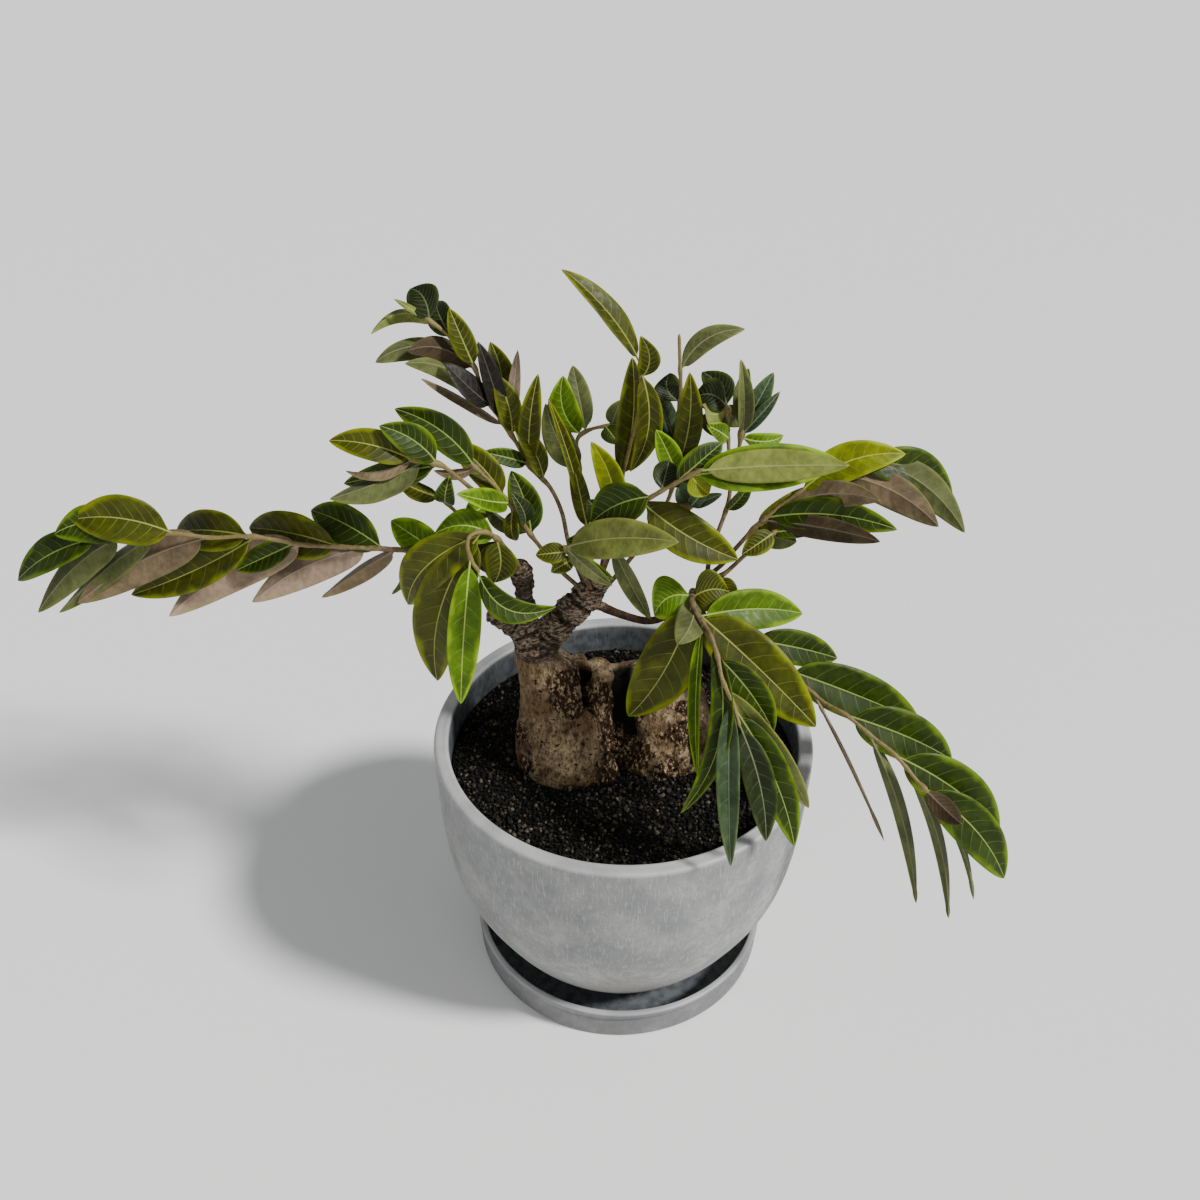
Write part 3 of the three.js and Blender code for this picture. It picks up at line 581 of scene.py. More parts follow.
woodLimbs = {  # x, y, z and radius, or the radii along X and along Y
    "leftLobe": [(-30, -2, 109, 13, 12), (-31, -2, 122, 24, 23), (-32, -1, 141, 28.5, 26.5),
                 (-33, 1, 160, 26.5, 25), (-36, 3, 178, 22.5, 21), (-41, 4, 195, 17.5, 16.5),
                 (-47, 5, 208, 13, 12), (-48, 5, 219, 11, 10.5)],
    "toe": [(-26, 0, 150, 12), (-14, -11, 142, 11), (-8, -14, 128, 8)],
    "middleColumn": [(-11, 8, 112, 10, 12), (-11, 8, 141, 16, 19), (-12, 9, 165, 15, 16),
                     (-13, 10, 184, 14, 14), (-13, 10, 194, 11, 11)],
    "upperSaddle": [(-15, 12, 176, 17), (3, 14, 178, 15.5), (24, 12, 174, 19)],
    "lowerSaddle": [(-12, 10, 140, 19), (4, 11, 140, 18), (22, 8, 140, 22)],
    "knob": [(-24, 11, 182, 7), (-25, 12, 194, 5.5), (-25, 13, 200, 4.5)],
    "rightLobe": [(22, 6, 109, 13, 12), (22, 6, 122, 24, 23), (22, 6, 141, 28, 27),
                  (22, 7, 160, 27, 25), (22, 8, 178, 24, 21), (22, 9, 190, 17, 15)],
    "leftTrunk": [(-48, 5, 212, 10), (-50, 5, 221, 8), (-52, 5, 231, 6.3), (-53, 5, 248, 5.5),
                  (-54, 5, 262, 6.2), (-55, 4, 267, 5.6)],
    "stub": [(-50, 4, 216, 8), (-55, 3.5, 226, 7), (-62, 2, 233, 6), (-70, 0.5, 239.5, 4.8)],
    "rightTrunk": [(-46, 5, 208, 10), (-41, 6.5, 221, 9.2), (-34, 8, 230, 9), (-26, 10, 238, 8.5),
                   (-19, 12, 246, 8), (-14, 12, 256, 6.4)],
    "lowBranch": [(-23, 11, 240, 3.4), (-13, 10, 237.5, 3), (-4, 5, 237, 2.6), (11, -5, 240, 2.4),
                  (22, -12, 250, 2.4), (30, -17, 261, 2.9), (34, -16, 266, 3.5)],
}
trunkNames = ["leftTrunk", "stub", "rightTrunk"]
branchNames = ["lowBranch"]
lobeNames = [name for name in woodLimbs if name not in trunkNames + branchNames]
bark = {
    "voxel": 0.8, "soften": 5, "sides": 20,
    # size across and height of the relief
    "lump": (13.0, 1.3), "knots": (5.0, 0.8), "crumb": (1.7, 0.4), "cracks": ((8.0, 8.0, 17.0), 0.8),
    "pits": (4.2, 0.6), "scales": ((2.0, 2.0, 3.2), 1.3), "flakes": ((2.6, 2.6, 1.6), 0.45),
    "rings": (3.6, 1.2), "ringWander": (9.0, 0.25), "spotEdge": (5.0, 4.0), "grooveEdge": (3.0, 0.5),
    "branchShrink": 0.3,
    # heights from which the trunks and the low branch count as such, and x of the branch's swollen end
    "trunkStart": (200, 214), "trunkSure": (208, 215), "branchStart": (226, 232), "branchEnd": (24, 31),
    # the dip between the lobes: flakier, with deeper cracks and more painted shade in them
    "gulf": {"middle": -2, "across": (17, 7), "back": (9, 2), "top": (196, 186)},
    "grooves": [  # lines on the wood, then half the width and the depth of each; each is also painted dark as shade
        ([(-22, 6, 197), (-22, 2, 195), (-21.5, -2, 192.5), (-21, -5, 189), (-20, -7, 185)], 2.8, 8.0),
        ([(-1, 18, 193), (-1, 11, 191), (-0.5, 3, 186), (1, -3, 174), (2, -6, 166)], 5.5, 8.0),
        ([(-19, -9, 183), (-12.5, -7, 170), (-10.3, -9, 162), (-10, -13, 155), (-9, -16, 147),
          (-4, -17, 139)], 1.6, 2.4),
        ([(40, -6, 186), (37, -13, 168), (38, -16, 150)], 1.6, 1.2),
    ],
    "roughSpots": [  # flaky places: centre and radius
        ((-32, -11, 197), 14), ((-26, -2, 200), 9), ((-27, -12, 187), 9), ((4, -11, 155), 20),
        ((0, -2, 180), 15), ((29, -15, 170), 10), ((34, -10, 184), 9), ((25, -18, 147), 15),
        ((-14, -2, 187), 11), ((-57, -8, 165), 10), ((-52, -16, 146), 11), ((10, 8, 196), 8),
    ],
    # pale places, partly the wood's own pale skin and partly painted highlight on the upward tops and on the
    # branch's end knob in the leaves' shade: centre and radius
    "paleAndHighlitSpots": [
        ((-14, 6, 196), 10), ((6, 15, 196), 11), ((-6, -17, 140), 9), ((-24, -26, 162), 20),
        ((33, -17, 150), 11), ((30, -5, 188), 9), ((34, -16, 266), 9),
    ],
    "cream": "c4ae88", "pale": "ab9675", "tan": "6e573b", "crust": "35240f", "fleck": "35240f",
    "scar": "0a0603", "rust": "38220f", "chip": "b39c78", "dark": "0a0603", "trunkPale": "8f7e69",
    "trunkDark": "33271c", "branch": "4a3628",
    "shares": {"cream": 0.85, "tan": 0.6, "crust": 0.5, "fleck": 0.8, "scar": 1.0},
    "grains": {  # squeezing along X, Y and Z, then size, detail and roughness
        "flakes": ((1, 1, 0.45), 1.4, 5.0, 0.7), "chips": ((1, 1, 0.45), 1.7, 4.0, 0.65),
        "crust": ((1, 1, 0.45), 5.0, 5.0, 0.7), "scars": ((1, 1, 1), 2.6, 2.0, 0.5),
        "rings": ((0.6, 0.6, 1.5), 1.5, 4.0, 0.65),
    },
    "spans": {  # the noise values between which each mask rises
        "crust": (0.5, 0.6), "flecks": (0.5, 0.62), "scars": (0.64, 0.7), "chips": (0.5, 0.62),
        "chipShade": (0.5, 0.4), "patches": (0.3, 0.8), "rings": (0.42, 0.6),
    },
    "cloudSize": 15.0, "speckSize": 1.3, "rough": (0.95, 0.7), "gloss": 0.2, "grainDepth": 1.2,
}


def nearWood(points, names, step=4):
    # how deep each point lies in the nearest of the named limbs, in radii, and the length along it
    best = np.full(len(points), 1e9)
    along = np.zeros(len(points))
    for name in names:
        line = smoothLine(woodLimbs[name], step)
        ways = unit(np.gradient(line[:, :3], axis=0))
        for place, length, way in zip(line, lengthsAlong(line), ways):
            offset = points - place[:3]
            far = np.linalg.norm(offset, axis=1) / place[3:5].mean()
            closer = far < best
            best[closer] = far[closer]
            along[closer] = length + offset[closer] @ way
    return best, along


def spotted(points, spots, edge, uneven):
    # 1 in the middle of each spot and 0 past its uneven edge
    share = np.zeros(len(points))
    for centre, radius in spots:
        far = np.linalg.norm(points - np.array(centre), axis=1) + uneven
        share = np.maximum(share, ramped(far, radius, radius * edge))
    return share


def growWood(look):
    parts = [tubePart(smoothLine(rows, 6), look["sides"]) for rows in woodLimbs.values()]
    rough = makePiece("roughWood", joinParts(parts), [])
    remesh = rough.modifiers.new("grown together", "REMESH")
    remesh.mode = "VOXEL"
    remesh.voxel_size = look["voxel"] * mm
    smooth = rough.modifiers.new("softened", "SMOOTH")
    smooth.iterations = look["soften"]
    shaped = rough.evaluated_get(bpy.context.evaluated_depsgraph_get())
    mesh = bpy.data.meshes.new_from_object(shaped)
    bpy.data.objects.remove(rough)
    return mesh


def readVectors(collection, field):
    values = np.empty(len(collection) * 3)
    collection.foreach_get(field, values)
    return values.reshape(-1, 3)


def roughenWood(mesh, look):
    points = readVectors(mesh.vertices, "co") / mm
    normals = readVectors(mesh.vertices, "normal")
    height = points[:, 2].copy()

    def relief(name, shift):
        size, deep = look[name]
        return deep * softNoise(points, size, shift)

    # which part of the wood each point belongs to
    onTrunk, trunkAlong = nearWood(points, trunkNames)
    onBranch = nearWood(points, branchNames)[0]
    onLobe = nearWood(points, lobeNames)[0]
    trunk = ramped(onLobe - onTrunk, -0.15, 0.25) * ramped(height, *look["trunkStart"])
    trunk = np.maximum(trunk, ramped(height, *look["trunkSure"]))
    branch = ramped(onTrunk - onBranch, 0.1, 0.6) * ramped(onBranch, 1.6, 1.2)
    branch *= ramped(height, *look["branchStart"])
    trunk *= 1 - branch
    branch -= branch * ramped(points[:, 0], *look["branchEnd"])
    lobe = (1 - trunk) * (1 - branch)

    # what lies on it
    spacing, ringDepth = look["rings"]
    rings = ramped(np.abs((trunkAlong / spacing + relief("ringWander", 3.1)) % 1 - 0.5) * 2, 0.5, 0.95)
    crackSize, crackDepth = look["cracks"]
    cracks = ramped(np.abs(softNoise(points, crackSize, 7.7)), 0.12, 0.0)
    dip = look["gulf"]
    gulf = ramped(np.abs(points[:, 0] - dip["middle"]), *dip["across"])
    gulf *= ramped(points[:, 1], *dip["back"]) * ramped(height, *dip["top"])
    pitSize, pitDepth = look["pits"]
    pits = ramped(softNoise(points, pitSize, 1.3), 0.5, 0.7)
    flaky = spotted(points, look["roughSpots"], 0.4, relief("spotEdge", 8.1))
    flaky = np.maximum(flaky, gulf * 0.8) * lobe
    # the pale spots, partly the wood's own colour and partly painted highlight
    light = spotted(points, look["paleAndHighlitSpots"], 0.3, relief("spotEdge", 6.3))

    grooveShade = np.zeros(len(points))
    for line, wide, deep in look["grooves"]:
        near = np.full(len(points), 1e9)
        for place in smoothLine(line, 8):
            near = np.minimum(near, np.linalg.norm(points - place, axis=1))
        cut = np.exp(-((near + relief("grooveEdge", 4.4)) / wide) ** 2)
        points -= normals * (deep * cut)[:, None]
        grooveShade = np.maximum(grooveShade, ramped(cut, 0.12, 0.6))
    rise = lobe * (relief("lump", 0.4) + relief("knots", 5.2))
    rise += relief("crumb", 2.2) * (0.7 + 0.7 * trunk - 0.6 * branch)
    rise -= lobe * (crackDepth * cracks * (0.35 + 0.9 * gulf) + pitDepth * pits)
    rise += flaky * relief("scales", 9.0)
    rise += trunk * (relief("flakes", 4.0) - ringDepth * rings)
    rise -= branch * look["branchShrink"]
    points += normals * rise[:, None]
    mesh.vertices.foreach_set("co", (points * mm).ravel())
    # the dark mark is painted shade in the cracks, pits and grooves; on the trunk's rings it is partly their
    # own dark colour and partly painted shade
    dark = 0.5 * cracks * lobe * (0.35 + 0.65 * flaky) + 0.55 * pits * lobe + 0.8 * rings * trunk + grooveShade
    markMesh(mesh, {"trunk": trunk, "branch": branch, "flaky": flaky, "light": light,
                    "dark": np.clip(dark, 0, 1)})
    mesh.update()


def barkFinish(look):
    # pale skin with tan clouds and dark flecks, cream spots that are partly painted highlight, and painted
    # shade in the cracks, pits and grooves; the flaky places are pale chips on dark brown
    material, tree = newMaterial("bark")
    place = objectPlace(tree)
    tone = tones(place, look)
    grains = {}
    for name, (stretch, size, detail, rough) in look["grains"].items():
        grains[name] = noise(objectPlace(tree, stretch), size, detail, rough)

    def mask(grain, span):
        return eased(grains[grain], *look["spans"][span])

    crust = mask("crust", "crust")
    skin = mixed(tone["Cloud"], tint(look["pale"]), tint(look["tan"]))
    # cream over the pale spots, partly painted highlight
    skin = layered(skin, look, {
        "cream": readMark(tree, "light"), "tan": tone["Mottle"], "crust": crust,
        "fleck": mask("flakes", "flecks"), "scar": mask("scars", "scars"),
    })
    chipTone = mixed(mask("chips", "chips"), tint(look["rust"]), tint(look["chip"]))
    chipTone = mixed(mask("flakes", "chipShade"), chipTone, tint(look["dark"]))
    patch = plus(readMark(tree, "flaky"), times(crust, 0.5))
    colour = mixed(eased(patch, *look["spans"]["patches"]), skin, chipTone)
    trunkTone = mixed(mask("rings", "rings"), tint(look["trunkDark"]), tint(look["trunkPale"]))
    branchTone = mixed(tone["Mottle"], tint(look["branch"]), tint(look["trunkDark"]))
    # over it the trunk and branch tones, then the dark mark's painted shade
    for name, over in (("trunk", trunkTone), ("branch", branchTone), ("dark", tint(look["dark"]))):
        colour = mixed(readMark(tree, name), colour, over)
    rough = spanned(grains["flakes"], 0.3, 0.7, *look["rough"])
    height = plus(grains["flakes"], times(grains["chips"], 0.9))
    plain = {"Specular IOR Level": look["gloss"]}
    return finished(material, colour, rough, height, look["grainDepth"], plain)


# where the lobes stand in the soil, a little inside their outline: middle, half the width and half the depth
woodOvals = [(-32, -1, 26.5, 24.5), (-11, 8, 14, 17), (22, 6, 26, 25), (4, 11, 16, 16), (-14, -11, 8, 8)]


def insideWood(x, y):
    inside = np.zeros(len(x), bool)
    for centreX, centreY, wide, deep in woodOvals:
        inside |= ((x - centreX) / wide) ** 2 + ((y - centreY) / deep) ** 2 < 1
    return inside


soilParts = [soilPart(soilBed), gritPart(soilBed, grit, insideWood)]
dress(makePiece("grittySoil", joinParts(soilParts), [gritFinish(grit)], smooth=False), "soil")

woodMesh = growWood(bark)
roughenWood(woodMesh, bark)
woodMesh.materials.append(barkFinish(bark))
woodMesh.polygons.foreach_set("use_smooth", [True] * len(woodMesh.polygons))
dress(placed("oldWood", woodMesh), "caudex")


# Leaves and stems

# each tone: the blade, its thin margin with a painted glow of sunlight through it, and its veins
leafTones = {
    "deep": ("263500", "6a8500", "8b9c4c"),
    "bright": ("456100", "93b400", "a1b655"),
    "olive": ("3a3e00", "828a00", "989b4c"),
    "dark": ("1d260b", "465812", "6c7450"),
    "purple": ("181410", "302d1c", "4c483b"),
    "yellow": ("656e00", "a3b000", "a3ab44"),
    "pale": ("727a38", "8f9040", "9aa062"),
    "grey": ("525830", "747a34", "7e8258"),
    "mauve": ("6b5b44", "767842", "8d8068"),
    "pink": ("8d7864", "908858", "a99a82"),
    "blue": ("38482f", "607538", "7d8f6c"),
    "brown": ("433725", "5a4f33", "716552"),
}
hiddenTones = {False: "grey", True: "deep"}  # of the side that faces away, for plain and for turned leaves
leafShape = {
    "stalk": 0.07, "stalkThick": 1.2, "stalkHalf": 0.55, "widest": 0.42, "bladeThick": 0.5, "rimThick": 0.2,
    "ribHalf": 0.55, "ribAbove": 0.08, "ribBelow": 0.42, "wave": 0.05, "droop": 0.07, "unlike": 0.1,
    "rowStep": 1.6, "rows": (14, 52), "halfColumns": 7,
}
stemShape = {
    "radius": 1.3, "tipRadius": 0.85, "sides": 12, "swelling": 0.32, "swellingLong": 2.6, "perSpan": 8,
    "bud": [(1.2, 0.75), (2.2, 0.3)],  # distance past the stem's end, and radius
}


def leafWidth(share):
    widest = leafShape["widest"]
    rising = np.sqrt(np.clip(1 - np.clip((widest - share) / widest, 0, 1) ** 2.3, 0, 1))
    falling = np.clip(1 - np.clip((share - widest) / (1 - widest), 0, 1) ** 2, 0, 1) ** 0.8
    return np.where(share < widest, rising, falling)


def leafFaces(rows, columns):
    # the upper sheet, then the lower one with the rims that join them
    lower = rows * columns
    last = lower - columns
    topFaces, underFaces = [], []
    for i in range(rows - 1):
        for j in range(columns - 1):
            a, b = i * columns + j, (i + 1) * columns + j
            topFaces.append([a, a + 1, b + 1, b])
            underFaces.append([lower + a, lower + b, lower + b + 1, lower + a + 1])
        a, b = i * columns, (i + 1) * columns
        underFaces.append([a, b, lower + b, lower + a])
        a, b = a + columns - 1, b + columns - 1
        underFaces.append([a, lower + a, lower + b, b])
    tip = list(range(last, lower)) + list(range(lower + last, lower + lower))[::-1]
    root = list(range(columns)) + list(range(lower, lower + columns))[::-1]
    return topFaces, underFaces + [tip, root[::-1]]


def leafPart(base, row, random):
    shape, stalk = leafShape, leafShape["stalk"]
    reach, wide, tone, roll, bow, fold, sweep = row
    turned = tone.startswith("under ")
    reach = np.array(reach, float)
    long = np.linalg.norm(reach)
    axis = reach / long
    top = np.array([0, 0.8, -0.6]) if turned else np.array([0, -0.8, 0.6])
    top = unit(top - axis * top.dot(axis))
    roll = math.radians(roll)
    top = top * math.cos(roll) + np.cross(axis, top) * math.sin(roll)
    side = np.cross(axis, top)
    rows = int(np.clip(long / shape["rowStep"], *shape["rows"]))
    even = np.linspace(0, 1, rows)[:, None]
    steps = np.linspace(-1, 1, 2 * shape["halfColumns"] + 1)[None, :]

    # s runs from the stem to the tip and w from edge to edge, both denser where the shape turns
    s = 0.75 * even + 0.25 * (0.5 - 0.5 * np.cos(math.pi * even))
    w = np.sign(steps) * np.abs(steps) ** 1.35
    bend = np.abs(w)
    bladeHalf = wide / 2 * leafWidth((s - stalk) / (1 - stalk))
    thin = shape["stalkHalf"]
    half = np.where(s < stalk, thin, np.maximum(bladeHalf, thin * (1 - s) + 0.1))
    across = w * half
    opened = np.clip((half - 0.5) / 1.5, 0, 1)
    fold = np.radians(fold) * opened
    arch = 4 * s * (1 - s)
    middle = (np.array(base) + s * reach + bow * arch * top + sweep * arch * side)[:, None, :]
    waves = np.sin(2 * math.pi * (s * random.uniform(1.5, 3) + random.random() + 0.25 * np.sign(w)))
    wavy = shape["wave"] * half * waves * bend ** 2 * (1 - s) * opened
    lift = half * (np.sin(fold) * bend - shape["droop"] * opened * bend ** 3) + wavy
    spot = middle + (across * np.cos(fold))[..., None] * side + lift[..., None] * top
    lean = np.tanh(across / 0.8) * fold
    normal = np.cos(lean)[..., None] * top - np.sin(lean)[..., None] * side

    onStalk = ramped(s, stalk * 1.3, stalk * 0.7)
    stalkRise = onStalk * shape["stalkThick"] / 2 * np.sqrt(np.clip(1 - w ** 2, 0.04, 1))
    blade = shape["rimThick"] + (shape["bladeThick"] - shape["rimThick"]) * (1 - bend ** 2)
    midrib = np.exp(-(across / shape["ribHalf"]) ** 2) * (1 - 0.75 * s)
    upper = stalkRise + (1 - onStalk) * (blade / 2 + shape["ribAbove"] * midrib)
    under = stalkRise + (1 - onStalk) * (blade / 2 + shape["ribBelow"] * midrib)
    sheets = [spot + upper[..., None] * normal, spot - under[..., None] * normal]
    points = np.concatenate([sheet.reshape(-1, 3) for sheet in sheets])

    vary = 1 + shape["unlike"] * random.uniform(-1, 1)
    shown, hidden = leafTones[tone.removeprefix("under ")], leafTones[hiddenTones[turned]]
    colours = []
    for codes in zip(*([hidden, shown] if turned else [shown, hidden])):
        sides = [np.tile(np.array(tint(code)) * [vary, vary, vary, 1], (across.size, 1)) for code in codes]
        colours.append(np.vstack(sides))
    flat = np.zeros_like(across)
    place = np.stack([across, s * long + flat, flat + wide / 2], axis=-1).reshape(-1, 3)
    grid = np.stack([w + flat, s + flat, flat + long], axis=-1).reshape(-1, 3)
    topFaces, underFaces = leafFaces(*across.shape)
    made = part(points, topFaces + underFaces, bladeColour=colours[0], edgeColour=colours[1],
                veinColour=colours[2], leafPlace=np.tile(place, (2, 1)), leafGrid=np.tile(grid, (2, 1)))
    made["finish"] = [0] * len(topFaces) + [1] * len(underFaces)
    return made


def stemPart(line, leafShares):
    # a slim stem that swells a little where a leaf sits, and ends in a small bud
    shape = stemShape
    shares = np.linspace(0, 1, len(line) * 2)
    places = evenly(line, shares)
    long = lengthsAlong(line)[-1]
    radius = shape["radius"] + (shape["tipRadius"] - shape["radius"]) * shares
    for at in leafShares:
        radius += shape["swelling"] * np.exp(-((shares - at) * long / shape["swellingLong"]) ** 2)
    past, budRadius = np.array(shape["bud"]).T
    bud = places[-1] + unit(places[-1] - places[-2]) * past[:, None]
    radius = np.concatenate([radius, budRadius])
    return tubePart(np.column_stack([np.vstack([places, bud]), radius]), shape["sides"], finish=2)


def shootParts(points, leaves, random):
    dense = smoothLine(points, 60)
    parts = [stemPart(smoothLine(points, stemShape["perSpan"]), [row[0] for row in leaves])]
    for at, *row in leaves:
        parts.append(leafPart(evenly(dense, at), row, random))
    return parts


veinShape = {
    "rise": 0.5, "riseOutward": 0.45,  # how far a side vein runs up the leaf on its way out
    "stagger": 0.22, "thinOut": 1.3, "fade": (0.78, 1.0), "tipFade": (0.86, 0.97),
    "ribWide": (0.7, 0.25), "ribEdge": (0.1, 0.6), "margin": (0.72, 1.18), "tip": (0.55, 1.05),
    "tipMargin": 0.35, "marginUneven": 0.16, "marginSize": 1 / 90, "puff": -0.5, "ribRise": 0.5,
}


def makeVeinGroup(shape):
    # the pattern of a leaf from its marks: midrib, side veins, margin and relief
    outputs = ["Midrib", "Veins", "Margin", "Relief"]
    group, given, out = newGroup("leafVeins", [], {"Pairs": 12.0, "Vein width": 0.3}, outputs)
    place = addNode(group, "SeparateXYZ", {0: readMark(group, "leafPlace", "Vector")})
    grid = addNode(group, "SeparateXYZ", {0: readMark(group, "leafGrid", "Vector")})
    across = maths("ABSOLUTE", place[0])
    outward = maths("ABSOLUTE", grid[0])
    lag = times(across, plus(times(times(outward, outward), shape["riseOutward"]), shape["rise"]))
    spacing = maths("DIVIDE", grid[2], given["Pairs"])
    phase = plus(maths("DIVIDE", maths("SUBTRACT", place[1], lag), spacing),
                 times(maths("SIGN", place[0]), shape["stagger"]))
    inCell = maths("ABSOLUTE", maths("SUBTRACT", maths("FRACT", phase), 0.5))
    wide = times(given["Vein width"], maths("SUBTRACT", shape["thinOut"], outward))
    line = maths("SUBTRACT", 1.0, maths("DIVIDE", times(inCell, spacing), wide), clamp=True)
    fade = eased(outward, *shape["fade"], 1.0, 0.0)
    ribWide = spanned(grid[1], 0, 1, *shape["ribWide"])
    rib = maths("SUBTRACT", 1.0, maths("DIVIDE", across, ribWide), clamp=True)
    midrib = eased(rib, *shape["ribEdge"])
    wander = noise(addNode(group, "TexCoord")["Object"], shape["marginSize"], 2.0, 0.5)
    uneven = spanned(wander, 0.3, 0.7, -shape["marginUneven"], shape["marginUneven"])
    edge = plus(plus(outward, times(eased(grid[1], *shape["tip"]), shape["tipMargin"])), uneven)
    pillow = times(times(inCell, 2.0), fade)
    setInputs(group, out, {
        "Midrib": midrib,
        "Veins": times(times(line, fade), eased(grid[1], *shape["tipFade"], 1.0, 0.0)),
        "Margin": eased(edge, *shape["margin"]),
        "Relief": plus(times(pillow, shape["puff"]), times(midrib, shape["ribRise"])),
    })
    return group


leafLooks = {
    "leafTop": {"pairs": 9.0, "veinWide": 0.24, "veins": 0.42, "midrib": 0.9, "margin": 0.7,
                "rough": (0.4, 0.58), "gloss": 0.16, "fuzz": 0.0, "depth": 0.16},
    "leafUnderside": {"pairs": 9.0, "veinWide": 0.26, "veins": 0.3, "midrib": 0.75, "margin": 0.45,
                      "rough": (0.6, 0.78), "gloss": 0.12, "fuzz": 0.05, "depth": 0.25},
}
leafTexture = {"cloudSize": 13.0, "speckSize": 0.9, "clouds": (0.72, 1.22), "mottles": (0.88, 1.12),
               "grainSize": 0.55, "grainRise": 0.25}
veinGroup = makeVeinGroup(veinShape)


def leafFinish(name, look):
    material, tree = newMaterial(name)
    place = objectPlace(tree)
    tone = tones(place, leafTexture)
    pattern = useGroup(tree, veinGroup, {"Pairs": look["pairs"], "Vein width": look["veinWide"]})
    blade, edge, vein = [readMark(tree, mark + "Colour", "Color") for mark in ("blade", "edge", "vein")]
    shade = times(spanned(tone["Cloud"], 0, 1, *leafTexture["clouds"]),
                  spanned(tone["Mottle"], 0, 1, *leafTexture["mottles"]))
    shadeColour = addNode(tree, "CombineColor", {channel: shade for channel in range(3)})[0]
    colour = mixed(1.0, blade, shadeColour, "MULTIPLY")
    # the brighter margin and tip are a painted glow of sunlight through the leaf; veins and midrib are the
    # leaf's own colour
    for mask, over in (("Margin", edge), ("Veins", vein), ("Midrib", vein)):
        colour = mixed(times(pattern[mask], look[mask.lower()]), colour, over)
    fine = times(noise(place, leafTexture["grainSize"], 2.0), leafTexture["grainRise"])
    rough = spanned(tone["Mottle"], 0, 1, *look["rough"])
    plain = {"Sheen Weight": look["fuzz"], "Specular IOR Level": look["gloss"]}
    return finished(material, colour, rough, plus(pattern["Relief"], fine), look["depth"], plain)


stemLook = {
    "old": "3e2616", "young": "6e6030", "streak": "8f7c4c", "scar": "1d120a", "ageing": (0.1, 0.75),
    "shares": {"streak": 0.45, "scar": 0.6}, "cloudSize": 12.0, "speckSize": 0.8, "rough": (0.5, 0.72),
    "grainSize": 0.7, "grainDepth": 0.2,
}


def stemFinish(look):
    material, tree = newMaterial("leafStem")
    place = objectPlace(tree)
    tone = tones(place, look)
    age = eased(readMark(tree, "alongStem"), *look["ageing"])
    colour = mixed(age, tint(look["old"]), tint(look["young"]))
    colour = layered(colour, look, {"streak": tone["Mottle"], "scar": tone["Specks"]})
    rough = spanned(tone["Mottle"], 0, 1, *look["rough"])
    return finished(material, colour, rough, noise(place, look["grainSize"]), look["grainDepth"])


